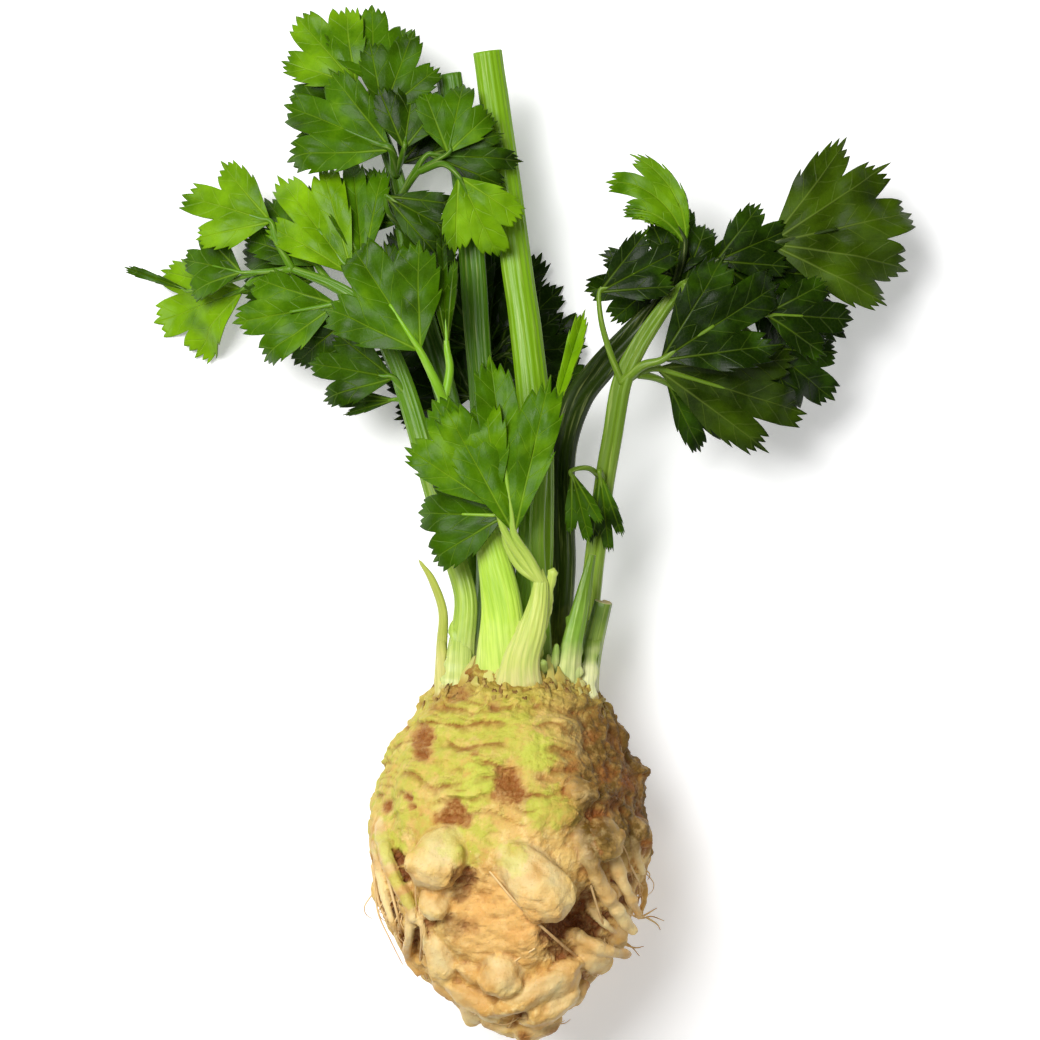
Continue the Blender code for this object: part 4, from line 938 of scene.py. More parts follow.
# Tones paint light and shade as well as the leaf's own green: the deepest tones, near 0, are on the right and
# under fronds, which lie in shade.
LEAVES = {
    "middle_frond": (
        Leaf(((-24, 172, 68), (-28, 181, 70), (-33, 191, 71)), -33, 51, spread=46, pitch=8, curl=44,
             fold=5, seed=11, tone=0.4),
        Leaf(((-24, 172, 68), (-22, 184, 67), (-23, 192, 67)), -3, 46, spread=15, pitch=2, curl=16,
             fold=40, seed=12, tone=0.25),
    ),
    "front_frond": (
        Leaf(((12.5, 104, 76), (8, 113, 78), (2.5, 122, 80)), -8, 70, spread=31, pitch=8, curl=22, seed=21,
             tone=0.48),
        Leaf(((12.5, 104, 76), (5, 113, 77), (-1, 123, 79), (-4, 132, 80)), -31, 50, spread=38, pitch=8,
             curl=30, seed=22, tone=0.55),
        Leaf(((12.5, 104, 76), (4, 110, 75.5), (-1, 120, 76), (-1, 129, 76.5)), -88, 40, spread=48,
             pitch=-2, curl=44, seed=23, tone=0.3),
    ),
    "left_frond": (
        Leaf(((-84, 225, 35), (-90, 236, 37), (-92, 243, 38)), -72, 40, spread=46, pitch=6, curl=44,
             seed=31, tone=0.7),
        Leaf(((-57, 211, 41), (-60, 222, 43)), -37, 54, spread=32, pitch=2, curl=32, seed=32, tone=0.78),
        Leaf(((-57, 211, 41), (-56, 224, 42)), -6, 50, spread=26, pitch=-4, curl=18, fold=24, seed=33,
             tone=0.45),
        Leaf(((-84, 225, 35), (-98, 224, 32), (-104, 224, 31)), -76, 30, spread=46, pitch=-4, curl=46,
             seed=34, tone=0.4),
        Leaf(((-84, 225, 35), (-98, 222, 28), (-104, 218, 22)), -107, 50, spread=40, pitch=-24, curl=30,
             seed=35, tone=0.8),
        Leaf(((-98, 224, 32), (-115, 220, 21), (-126, 218, 16)), -70, 28, spread=7, pitch=-4, curl=-16,
             fold=30, lobes=1, seed=36, tone=0.3),
        Leaf(((-57, 211, 41), (-66, 211, 41)), -99, 46, spread=38, pitch=2, curl=46, seed=37, tone=0.5),
        Leaf(((-69, 219, 39), (-74, 221, 35)), -68, 40, pitch=-16, curl=20, seed=38, tone=0.2),
        Leaf(((-38, 173, 44), (-44, 182, 46)), -79, 38, spread=40, pitch=2, curl=44, seed=39, tone=0.2),
        Leaf(((-38, 173, 44), (-43, 174, 41)), -93, 29, spread=16, pitch=-18, curl=20, seed=40, tone=0.15),
        Leaf(((-47, 196, 42), (-42, 208, 42)), 12, 36, spread=36, pitch=-12, curl=10, seed=41, tone=0.15),
        Leaf(((-69, 219, 39), (-74, 226, 36)), -38, 40, spread=44, pitch=-6, curl=24, seed=42, tone=0.3),
        Leaf(((-57, 211, 41), (-60, 207, 38)), -128, 34, spread=44, pitch=-12, curl=20, seed=43, tone=0.15),
    ),
    "top_frond": (
        Leaf(((-55, 292, 34), (-59, 296, 36)), -40, 40, spread=46, pitch=6, curl=40, seed=51, tone=0.68),
        Leaf(((-55, 292, 34), (-52, 296, 36)), -2, 36, spread=48, pitch=8, curl=44, seed=52, tone=0.5),
        Leaf(((-51, 282, 33), (-48, 284, 47)), 20, 34, spread=46, pitch=6, curl=22, seed=53, tone=0.3),
        Leaf(((-44, 262, 31), (-45, 270, 46)), -66, 48, spread=42, pitch=6, curl=40, seed=54, tone=0.4),
        Leaf(((-44, 262, 31), (-40, 270, 48)), 8, 33, spread=46, pitch=8, curl=24, seed=55, tone=0.2),
        Leaf(((-43, 252, 30), (-34, 262, 45), (-23, 268, 51)), 12, 31, spread=50, pitch=4, curl=36,
             seed=56, tone=0.4),
        Leaf(((-43, 252, 30), (-36, 262, 43), (-31, 268, 47)), 93, 38, spread=28, pitch=6, curl=24,
             seed=57, tone=0.1),
        Leaf(((-34, 262, 45), (-25, 264, 51), (-19, 259, 54)), 153, 37, spread=44, pitch=-4, curl=22,
             seed=58, tone=0.7),
        Leaf(((-40, 240, 29), (-46, 246, 42), (-47, 252, 46)), 118, 35, spread=32, pitch=16, curl=56,
             seed=59, tone=0.15),
        Leaf(((-40, 240, 29), (-42, 243, 34)), -62, 34, pitch=6, curl=30, seed=60, tone=0.3),
        Leaf(((-34, 210, 27), (-36, 216, 30)), 8, 34, spread=40, pitch=10, curl=30, seed=61, tone=0.1),
        Leaf(((-51, 282, 33), (-53, 286, 34)), -78, 36, spread=44, pitch=4, curl=30, seed=62, tone=0.25),
        Leaf(((-44, 262, 31), (-42, 266, 34)), 42, 34, spread=44, pitch=6, curl=24, seed=63, tone=0.1),
    ),
    "right_upper_frond": (
        Leaf(((97, 233, 43), (101, 234, 43)), 77, 64, spread=49, pitch=8, curl=40, lobes=5, seed=71,
             tone=0.28, turned=True),
        Leaf(((61, 212, 44), (66, 224, 48), (68, 233, 50)), -14, 44, spread=26, pitch=14, curl=30,
             sweep=-80, seed=72, tone=0.6),
        Leaf(((78, 225, 44), (80, 227, 47)), 66, 35, spread=42, pitch=8, curl=28, seed=73, tone=0.0),
        Leaf(((61, 212, 44), (62, 222, 46)), -100, 36, spread=40, pitch=-6, curl=30, seed=74, tone=0.05),
        Leaf(((88, 230, 43), (93, 224, 41)), 122, 50, spread=44, pitch=-14, curl=22, seed=75, tone=0.02),
        Leaf(((61, 212, 44), (64, 220, 46)), 8, 32, spread=42, pitch=2, curl=30, seed=76, tone=0.1),
        Leaf(((78, 225, 44), (82, 226, 45)), 96, 44, spread=44, pitch=-4, curl=26, seed=77, tone=0.05),
        Leaf(((61, 212, 44), (66, 214, 45)), 50, 36, spread=44, pitch=2, curl=24, seed=78, tone=0.12),
    ),
    "right_lower_frond": (
        Leaf(((43.5, 180, 56), (51, 186, 60), (58, 188, 62)), 57, 58, spread=38, pitch=8, curl=30, seed=81,
             tone=0.02),
        Leaf(((43.5, 180, 56), (50, 184, 56), (56.5, 185.5, 55)), 106, 70, spread=30, pitch=0, curl=28,
             seed=82, tone=0.12, turned=True),
        Leaf(((50, 183, 56), (56, 182, 52), (61, 180, 48)), 126, 41, spread=34, pitch=-22, curl=24,
             seed=83, tone=0.0),
        Leaf(((43.5, 180, 56), (39, 191, 59), (35.5, 203, 61), (34.8, 214, 62)), 62, 36, spread=36,
             pitch=10, curl=26, seed=84, tone=0.02),
        Leaf(((67, 217, 58), (85, 213, 57), (98, 206, 56)), 92, 36, spread=44, pitch=0, curl=30, seed=85,
             tone=0.02),
        Leaf(((67, 217, 58), (85, 205, 53), (99, 194, 48)), 125, 38, spread=44, pitch=-14, curl=22,
             seed=86, tone=0.02),
        Leaf(((37, 142, 49), (31, 147, 60), (24, 146, 64)), 165, 31, spread=22, pitch=-4, curl=24, seed=87,
             tone=0.35),
        Leaf(((37, 142, 49), (35, 146, 58)), 173, 34, spread=18, pitch=-8, curl=16, seed=88, tone=0.15),
    ),
    "under_frond": (
        Leaf(((-9, 190, 6.5), (-16, 196, 10)), -62, 46, spread=46, pitch=6, curl=24, seed=96, tone=0.0),
        Leaf(((-9, 190, 6.5), (-13, 200, 12)), -30, 44, spread=46, pitch=10, curl=24, seed=97, tone=0.02),
        Leaf(((-10, 172, 4.5), (-15, 176, 9)), -76, 40, spread=44, pitch=8, curl=24, seed=98, tone=0.0),
        Leaf(((-9, 190, 6.5), (-2, 193, 10)), 84, 34, spread=44, pitch=8, curl=20, seed=99, tone=0.0),
        Leaf(((-10, 172, 4.5), (-4, 176, 7)), 42, 48, spread=46, pitch=4, curl=22, seed=91, tone=0.0),
        Leaf(((-9, 190, 6.5), (-3, 197, 9)), 46, 35, spread=44, pitch=2, curl=26, seed=92, tone=0.0),
        Leaf(((-9, 190, 6.5), (-8, 197, 8)), 4, 50, spread=38, pitch=6, curl=28, seed=93, tone=0.0),
        Leaf(((-10, 172, 4.5), (-16, 180, 7)), -24, 42, spread=44, pitch=4, curl=24, seed=94, tone=0.02),
    ),
    "folded_leaf": (
        Leaf(((14.5, 158, 58.5), (15.5, 162, 59)), 17, 46, spread=9, pitch=5, curl=10, fold=48, lobes=1,
             seed=95, tone=0.75),
    ),
}
print(len(STALK_ROUTES), "stalks with", sum(len(row) for row in LEAVES.values()), "leaflets")

# %% [markdown]
# ### A stalk's form
# A celery stalk is a gutter: broad and hollowed on the side that faces the plant's middle, with ribs
# along its back. A loft carries one cross-section along the route, and its width and thickness change on
# the way. The foot runs a little into the crown, as it grew there. The front stalks also get the sheath
# that clasps the crown, a flattened tube that rises from the shoulder and melts into the stalk. Each
# corner keeps its place round and along the stalk in millimetres, for the strands in the skin.

# %% Form of a stalk
STALK_SIDES = 72
RIB_DEPTH = 0.28
FOOT_IN_CROWN = 5.0
FOOT_FLARE = 0.6  # how much wider the sheath is where it meets the crown


def stalk_section(width, thickness, ribs, ripple):
    """A stalk's cross-section: a ribbed oval with a groove on the side that faces the plant's middle."""
    corners = []
    for i in range(STALK_SIDES):
        turn = 2 * math.pi * i / STALK_SIDES
        across, out = math.cos(turn), math.sin(turn)
        rib = (0.5 + 0.5 * math.cos(ribs * turn)) ** 1.5 * RIB_DEPTH * min(1.0, width / 9)
        rib *= 0.25 if out < -0.2 else 1.0
        if out < 0:
            out *= 1 - 0.75 * math.exp(-((across / 0.5) ** 2))
        size = math.hypot(across, out) or 1.0
        corners.append((across * (width / 2 - 0.1) + rib * across / size,
                        out * (thickness / 2 - 0.1) + rib * out / size + ripple * across * 0.3))
    return corners


def stalk_form(name, cut_end):
    """A loft along the stalk's route, with its ribs and, if it was cut, a flat end face."""
    points = STALK_ROUTES[name]
    length = sum((Vector(b[:3]) - Vector(a[:3])).length for a, b in zip(points, points[1:]))
    rings = max(14, int(length / 1.6))
    rows = smooth_route([Vector(p[:3]) for p in points], rings)
    sizes = smooth_route([Vector((p[3], p[4], 0)) for p in points], rings)
    rows.insert(0, rows[0] + (rows[0] - rows[1]).normalized() * FOOT_IN_CROWN)
    sizes.insert(0, sizes[0] * 0.9)
    rings += 1
    crown = ROOT_CENTRE + AXIS * ROOT_PROFILE[0][1]
    out = (rows[1] - crown).normalized()
    out.z += 1.2 if out.z > -0.2 else -1.2
    growth = Growth("strand")
    ribs = max(5, round(points[1][3] * 1.1))
    loops, run = [], 0.0
    for i, (place, size) in enumerate(zip(rows, sizes)):
        run += (place - rows[i - 1]).length if i else -FOOT_IN_CROWN
        along = (rows[min(i + 1, rings - 1)] - rows[max(i - 1, 0)]).normalized()
        out = (out - along * out.dot(along)).normalized()
        side = along.cross(out)
        uneven = 1 + 0.03 * noise.noise(place * 0.07)
        flare = 1 + FOOT_FLARE * math.exp(-max(run, 0.0) / 9.0)
        section = stalk_section(size.x * uneven * flare, size.y * uneven * (1 + (flare - 1) * 0.4), ribs,
                                noise.noise(place * 0.05))
        round_it = math.pi * (size.x + size.y) / 2
        loops.append([
            growth.corner(place + side * a + out * b, strand=(round_it * k / STALK_SIDES, run, 0.0))
            for k, (a, b) in enumerate(section)
        ])
    for low, high in zip(loops, loops[1:]):
        growth.band(low, high)
    growth.face(tuple(loops[0][::-1]))
    end = loops[-1]
    middle = sum((growth.corners[k] for k in end), Vector()) / len(end) / MM
    if cut_end:
        last = end
        for share, sink in ((0.93, -0.25), (0.6, 0.35), (0.25, 0.5)):
            ring = [growth.corner(middle + (growth.corners[k] / MM - middle) * share - along * sink,
                                  strand=(share * 10, 0.0, 1.0)) for k in end]
            growth.band(last, ring, 1)
            last = ring
        growth.face(tuple(last), 1)
    else:
        tip = growth.corner(middle + along * size.y * 1.2, strand=(0.0, run + size.y, 0.0))
        for k in range(STALK_SIDES):
            growth.face((end[k], end[(k + 1) % STALK_SIDES], tip))
    return growth


# Where each foot spreads over the crown's shoulder: x and y there, the place on the stalk that it rises to,
# its half width at both ends, and how flat it is.
FEET = {
    "middle_frond": (((-5, 63), (-2, 90, 62), 8.5, 5.0, 0.3),),
    "front_frond": (
        ((3, 62.5), (8, 88, 71), 8.0, 4.0, 0.32), ((-8, 64), (5, 84, 71), 4.5, 2.6, 0.4),
        ((9, 67), (17, 108, 76), 3.6, 2.2, 0.7)),
    "left_frond": (((-20, 62), (-17, 90, 50), 7.0, 4.0, 0.3),),
    "thin_side_stalk": (((-27.5, 61), (-25.5, 84, 45), 2.8, 1.6, 0.5),),
    "young_stalk": (((24, 62.5), (25.5, 90, 58), 5.2, 3.0, 0.35), ((18, 65), (18.5, 80, 66), 2.0, 1.0, 0.7)),
    "short_cut_stub": (((32, 60), (33.5, 88, 45), 4.6, 2.6, 0.4),),
    "folded_leaf": (((13.5, 63.5), (13, 74, 71), 3.0, 1.4, 0.8),),
}


def add_feet(growth, name):
    """The sheath at a stalk's foot, which clasps the crown before the stalk rises from it."""
    for (x, y), end, wide, narrow, flatness in FEET.get(name, ()):
        top = Vector(end)
        low, high = over_skin(x, y, -wide * flatness - 0.8), over_skin(x, y + 6, -0.2 * wide * flatness)
        route = (low, high, high + (top - high) * 0.55 + Vector((0, 0, 0.8)), top)
        reach = (top - low).length
        grown = (top - Vector(STALK_ROUTES[name][0][:3])).length - reach
        add_tube(growth, route, (wide, narrow), sides=32, rings=36, uneven=0.5, flatness=flatness,
                 out=Vector((0, 0, 1)), values=lambda t: {"strand": (t * 2, grown + reach * t, 0.0)})


print("section of a 12 mm stalk has", len(stalk_section(12, 8, 12, 0)), "corners")

# %% [markdown]
# ### Stalk skin
# Fresh celery stalk: a thin waxy skin over watery flesh, so it is glossy, a little see-through, and
# streaked lengthwise by its strands. It is nearly white at the foot and turns to lime and then green on
# the way up. Plant tissue has an IOR near 1.4, and its roughness is about 0.35. Each stalk has its own
# three greens, so a function makes the material from them.

# %% Skin of the stalks
def stalk_skin(name, foot, middle, top, turn_at=(8, 30, 110)):
    """A stalk's skin in three greens, which turn into one another at these places in mm along it."""
    made, tree = new_skin(name)
    place = add(tree, "ShaderNodeTexCoord", out="Object")
    strand = add(tree, "ShaderNodeAttribute", out="Vector", attribute_name="strand")
    split = tree.nodes.new("ShaderNodeSeparateXYZ")
    tree.links.new(strand, split.inputs[0])
    along = split.outputs["Y"]
    wide = add(tree, "ShaderNodeTexNoise", {"Vector": place, "Scale": 1 / (16 * MM), "Detail": 3})
    shift = add(tree, "ShaderNodeMath", {0: wide, 1: 40.0, 2: -20.0}, operation="MULTIPLY_ADD")
    run = add(tree, "ShaderNodeMath", {0: along, 1: shift}, operation="ADD")
    part = add(tree, "ShaderNodeMapRange", {0: run, 1: turn_at[0], 2: turn_at[1]})
    tone = add(tree, "ShaderNodeMix", {0: part, 6: colour(foot), 7: colour(middle)}, **COLOURS)
    part = add(tree, "ShaderNodeMapRange", {0: run, 1: turn_at[1], 2: turn_at[2]})
    tone = add(tree, "ShaderNodeMix", {0: part, 6: tone, 7: colour(top)}, **COLOURS)
    # Strands are 0.3 mm wide on a real stalk; they are drawn 0.9 mm wide to show, and 25 mm long.
    stretched = add(tree, "ShaderNodeVectorMath", {0: strand, 1: (1 / 0.9, 1 / 25, 1)}, operation="MULTIPLY")
    streak = add(tree, "ShaderNodeTexNoise",
                 {"Vector": stretched, "Scale": 1.0, "Detail": 3, "Roughness": 0.6})
    part = add(tree, "ShaderNodeMapRange", {0: streak, 1: 0.42, 2: 0.66, 4: 0.45})
    tone = add(tree, "ShaderNodeMix", {0: part, 6: tone, 7: colour(top)}, **COLOURS)
    part = add(tree, "ShaderNodeMapRange", {0: streak, 1: 0.46, 2: 0.3, 4: 0.25})
    tone = add(tree, "ShaderNodeMix", {0: part, 6: tone, 7: colour("#D6E088")}, **COLOURS)
    # The foot is soiled and bruised brown where it meets the crown.
    part = add(tree, "ShaderNodeMapRange", {0: run, 1: 6.0, 2: -6.0, 4: 0.8})
    tone = add(tree, "ShaderNodeMix", {0: part, 6: tone, 7: colour("#A8803C")}, **COLOURS)
    rough = add(tree, "ShaderNodeMapRange", {0: streak, 3: 0.30, 4: 0.46})
    relief = add(tree, "ShaderNodeBump", {"Strength": 0.6, "Distance": 0.35 * MM, "Height": streak})
    skin = add(tree, "ShaderNodeBsdfPrincipled", {
        "Base Color": tone, "Roughness": rough, "IOR": 1.4, "Normal": relief,
        "Specular IOR Level": 0.4,
        "Subsurface Weight": 0.12, "Subsurface Radius": (1.0, 1.0, 0.2), "Subsurface Scale": 2 * MM})
    tree.links.new(skin, tree.nodes.new("ShaderNodeOutputMaterial").inputs["Surface"])
    return made


def cut_flesh():
    """A knife cut across a stalk: moist pale flesh dotted with darker strand ends."""
    made, tree = new_skin("stalk_flesh_knife_cut")
    place = add(tree, "ShaderNodeTexCoord", out="Object")
    cells = add(tree, "ShaderNodeTexVoronoi", {"Vector": place, "Scale": 1 / (1.6 * MM)})
    dots = add(tree, "ShaderNodeMapRange", {0: cells, 1: 0.3, 2: 0.2})
    tone = add(tree, "ShaderNodeMix", {0: dots, 6: colour("#A9B95A"), 7: colour("#5E6E22")}, **COLOURS)
    relief = add(tree, "ShaderNodeBump", {"Strength": 0.5, "Distance": 0.2 * MM, "Height": cells})
    rough = add(tree, "ShaderNodeMapRange", {0: cells, 3: 0.3, 4: 0.5})
    skin = add(tree, "ShaderNodeBsdfPrincipled", {"Base Color": tone, "Roughness": rough, "IOR": 1.4,
                                                 "Normal": relief})
    tree.links.new(skin, tree.nodes.new("ShaderNodeOutputMaterial").inputs["Surface"])
    return made


# At the foot, in the middle and at the top, and where one turns into the next, in mm along, if not as usual.
STALK_GREENS = {
    "middle_frond": ("#DDE48C", "#BEDC50", "#76A81C"),
    "front_frond": ("#D8D08A", "#C6D068", "#7FA82C"),
    "left_frond": ("#D8DC8C", "#A8C24C", "#568210"),
    "top_frond": ("#C8CC70", "#7A9A2C", "#466C0C"),
    "right_upper_frond": ("#A8AA58", "#3A4C0C", "#283A06"),
    "right_lower_frond": ("#CED088", "#86A038", "#62801C"),
    "under_frond": ("#B0B060", "#4E661A", "#33480C"),
    "folded_leaf": ("#D0D888", "#88AC30", "#66941C"),
    "long_cut_stalk": ("#C6CC66", "#88AE28", "#74A010"),
    "second_cut_stalk": ("#C0C660", "#5E8614", "#46700A"),
    "short_cut_stub": ("#DCDCA4", "#94AE4A", "#3E5C14", (8, 20, 44)),
    "thin_side_stalk": ("#D4CC80", "#B0B850", "#98A040"),
    "young_stalk": ("#D4D890", "#80A838", "#5E7E1C", (6, 22, 46)),
    "under_stub": ("#CCD088", "#88A440", "#688E28"),
}
CUT_STALKS = ("long_cut_stalk", "second_cut_stalk", "short_cut_stub", "under_stub", "young_stalk")
flesh = cut_flesh()
stalk_skins = {}
for name, greens in STALK_GREENS.items():
    stalk_skins[name] = stalk_skin(f"celery_skin_{name}", *greens)
    slot = "leaf_green" if name in LEAVES else "stalk_green"
    form = stalk_form(name, name in CUT_STALKS)
    add_feet(form, name)
    plant_piece(f"{name}_stalk", form.mesh(name), slot, [stalk_skins[name], flesh], name)
print(len(stalk_skins), "stalks made")

# %% [markdown]
# ### A leaflet's blade
# A celeriac leaflet is a wedge with three lobes, each with toothed points, and the blade bulges between
# its veins. It is drawn as a fan: columns run from the foot to every tooth and notch, and rows follow the
# rim. The fan is bent along the leaflet's midrib, folded a little, waved at the rim, and pressed in along
# each vein. Solidify then gives it its thickness, with a second material on the under side.

# %% Form of a blade
BLADE_THICKNESS = 0.5
SURFACE_CLEARANCE = 0.38
SURFACE_SOFTNESS = 1.5  # how gently a blade that comes down turns to lie on the surface
RIM_WAVE = 0.03  # of the blade's length
COLUMNS_PER_FLANK = 4
BLADE_ROWS = 20
BLADE_EDGE = 1.16  # the fan's outermost columns, where 1 is the solid's lower edge
LOBES = {
    1: ((0.0, 1.0),),
    3: ((-0.68, 0.84), (0.0, 1.0), (0.68, 0.84)),
    5: ((-0.82, 0.86), (-0.43, 0.96), (0.0, 1.0), (0.43, 0.97), (0.82, 0.88)),
}


def main_teeth(leaf):
    """The three main teeth of each lobe, as place across (-1 to 1) and reach (0 to 1), like the solid's."""
    draw = random.Random(leaf.seed)
    lobes = LOBES[leaf.lobes]
    gap = 2.0 / len(lobes) * 0.31
    teeth = []
    for middle, reach in lobes:
        reach *= draw.uniform(0.94, 1.05)
        for step, share in ((-1, 0.93), (0, 1.0), (1, 0.93)):
            place = middle + step * gap * draw.uniform(0.85, 1.0)
            teeth.append((place, reach * share * draw.uniform(0.96, 1.03)))
    return teeth


def rim_of(leaf, teeth):
    """The rim's columns, as (place across, reach): main teeth with smaller ones between and below them."""
    draw = random.Random(leaf.seed + 500)
    first, last = teeth[0], teeth[-1]
    tips = [(-BLADE_EDGE, 0.40, 0), (-BLADE_EDGE * 0.97, 0.50, 1), ((first[0] - 1.1) / 2, first[1] * 0.86, 1)]
    for i, (place, reach) in enumerate(teeth):
        tips.append((place, reach, 2))
        if i % 3 < 2:
            after = teeth[i + 1]
            middle = place + (after[0] - place) * draw.uniform(0.42, 0.58)
            tips.append((middle, (reach + after[1]) / 2 * draw.uniform(0.96, 1.0), 1))
    tips += [((last[0] + 1.1) / 2, last[1] * 0.86, 1), (BLADE_EDGE * 0.97, 0.50, 1), (BLADE_EDGE, 0.40, 0)]
    marks = []
    for (u0, r0, size0), (u1, r1, size1) in zip(tips, tips[1:]):
        marks.append((u0, r0))
        between_lobes = size0 == 2 and size1 == 2
        depth = draw.uniform(0.10, 0.17) if between_lobes else draw.uniform(0.035, 0.06)
        if size0 and size1:
            lean = 0.5 if between_lobes else (0.64 if u0 + u1 > 0 else 0.36)
            marks.append((u0 + (u1 - u0) * lean, min(r0, r1) - depth))
    marks.append(tips[-1][:2])
    columns = []
    for (u0, r0), (u1, r1) in zip(marks, marks[1:]):
        for k in range(COLUMNS_PER_FLANK):
            t = k / COLUMNS_PER_FLANK
            w = t if r1 > r0 else 1 - t
            curve = 0.8 * math.sin(w * math.pi / 2) + 0.2 * w**5
            columns.append((u0 + (u1 - u0) * t, min(r0, r1) + abs(r1 - r0) * curve))
    return [*columns, marks[-1]]


def midrib(leaf, steps=24):
    """Frames along a blade's midrib: where it is, and the ways along, across and out of the blade."""
    place = Vector(leaf.stem[-1])
    frames = []
    for i in range(steps + 1):
        share = i / steps
        heading = math.radians(leaf.heading + leaf.sweep * share)
        rise = math.radians(leaf.pitch - leaf.curl * share)
        level = math.cos(rise)
        along = Vector((math.sin(heading) * level, math.cos(heading) * level, math.sin(rise)))
        across = Vector((math.cos(heading), -math.sin(heading), 0))
        frames.append((place.copy(), along, across, across.cross(along)))
        place += along * leaf.length / steps
    return frames


def flat(leaf, u, reach):
    """A place on the blade before it is bent: u goes across from -1 to 1, reach from the foot to the tip."""
    turn = u * math.radians(leaf.spread)
    return Vector((math.sin(turn), math.cos(turn))) * reach * leaf.length


def veins_of(leaf, teeth):
    """Each main vein's foot and tip on the flat blade, and whether it is the middle one of its lobe."""
    veins = []
    for i in range(len(LOBES[leaf.lobes])):
        left, centre, right = teeth[3 * i : 3 * i + 3]
        for tooth, start in ((centre, 0.0), (left, 0.42), (right, 0.42)):
            veins.append((flat(leaf, centre[0], tooth[1] * start), flat(leaf, *tooth), start == 0.0))
    return veins


def vein_place(spot, veins):
    """How far a spot on the flat blade is from the nearest vein, and its place along and beside a lobe's."""
    nearest, along, beside, middle_gap = 99.0, 0.0, 0.0, 99.0
    for foot, tip, middle in veins:
        way = tip - foot
        length = way.length
        way /= length
        off = spot - foot
        ahead = off.dot(way)
        aside = off.x * way.y - off.y * way.x
        gap = math.hypot(aside, ahead - min(max(ahead, 0.0), length))
        nearest = min(nearest, gap if middle else gap * 1.5 + 0.4)
        if middle and gap < middle_gap:
            middle_gap, along, beside = gap, ahead, aside
    return nearest, along, beside


def even_share(u, rim, share):
    """The share of the way to a smooth rim without teeth, so that waves run on evenly from tooth to notch."""
    return min(1.1, share * rim / (1 - 0.16 * min(1.0, u * u)))


def blade_point(leaf, frames, turn, reach, share, relief):
    """The blade's point at an angle from the midrib and a distance from the foot, raised off the surface."""
    ahead, aside = reach * math.cos(turn), reach * math.sin(turn)
    step = min(max(ahead / leaf.length, 0.0), 1.0) * (len(frames) - 1)
    k = min(int(step), len(frames) - 2)
    place, along, across, out = frames[k]
    place = place + along * (ahead - k * leaf.length / (len(frames) - 1))
    fold = math.radians(leaf.fold)
    height = abs(aside) * math.sin(fold) * (1 - 0.5 * share) + relief
    height += RIM_WAVE * leaf.length * share**2 * math.sin(6 * turn + leaf.seed)
    point = place + across * aside * math.cos(fold) + out * height
    over = (point.z - SURFACE_CLEARANCE) / SURFACE_SOFTNESS
    point.z = SURFACE_CLEARANCE + SURFACE_SOFTNESS * (over if over > 20 else math.log1p(math.exp(over)))
    return point


def add_blade(growth, leaf):
    """One leaflet's blade, as a fan of corners that bulge between the veins."""
    teeth = main_teeth(leaf)
    veins = veins_of(leaf, teeth)
    frames = midrib(leaf)
    spread = math.radians(leaf.spread)
    columns = rim_of(leaf, teeth)
    wide = min(1.0, leaf.spread / 34)
    puff = 0.03 * leaf.length * wide

    def corner(u, share, rim):
        """The corner at u across, and at this share of the way from the foot to the rim there."""
        spot = flat(leaf, u, rim * share)
        even = even_share(u, rim, share)
        near, along, beside = vein_place(spot, veins)
        from_lobe = math.hypot(beside, 1.2) - 1.2
        rounded = math.hypot(near, 1.0) - 1.0
        bulge = puff * (0.7 * (1 - math.exp(-from_lobe / 5.0)) + 0.3 * (1 - math.exp(-rounded / 3.0)))
        bulge *= (1 - 0.7 * even**3) * min(1.0, 2.5 * even)
        if leaf.turned:
            bulge = -bulge
        sway = 0.16 * leaf.length * wide * even * noise.noise(
            Vector((spot.x / 17, spot.y / 17, leaf.seed * 3.1)))
        crinkle = 0.6 * noise.noise(Vector((spot.x / 7, spot.y / 7, leaf.seed))) * min(1.0, even * 3)
        dome = -0.32 * spot.x**2 / leaf.length * wide
        droop = -0.07 * leaf.length * even**4 * (0.5 + 0.5 * math.sin(3 * u + leaf.seed))
        relief = bulge + sway + crinkle + dome + droop
        point = blade_point(leaf, frames, u * spread, rim * share * leaf.length, even, relief)
        return growth.corner(point, vein=(along, beside, near + 0.45 * share),
                             leaf=(spot.x, spot.y, leaf.tone))

    foot = corner(0.0, 0.0, 1.0)
    shares = [(j / BLADE_ROWS) ** 0.85 for j in range(1, BLADE_ROWS + 1)]
    rows = [[corner(u, share, rim) for u, rim in columns] for share in shares]
    turn_over = (lambda c: tuple(c[::-1])) if leaf.turned else tuple
    for k in range(len(columns) - 1):
        growth.face(turn_over((foot, rows[0][k + 1], rows[0][k])))
        for low, high in zip(rows, rows[1:]):
            growth.face(turn_over((low[k], low[k + 1], high[k + 1], high[k])))


def blades_of(name):
    """All the blades of a frond as one mesh."""
    growth = Growth("vein", "leaf")
    for leaf in LEAVES[name]:
        add_blade(growth, leaf)
    return growth.mesh(f"{name}_leaves")


one = LEAVES["middle_frond"][0]
print("the first leaflet's rim has", len(rim_of(one, main_teeth(one))), "columns")

# %% [markdown]
# ### Leaf skins
# The upper side of a celeriac leaf is waxy and glossy, the under side is paler, more matt, and its veins
# stand out. Both are drawn from the same values: the distance to the main veins, and the place along and
# beside a lobe's vein, which makes the herringbone of side veins. Wax has an IOR near 1.45; the upper
# side's roughness is about 0.36 and the under side's 0.46. The specular level is low, because such large
# soft lights would veil the dark leaves with grey. A real leaf lets some light through, which a little
# subsurface gives.

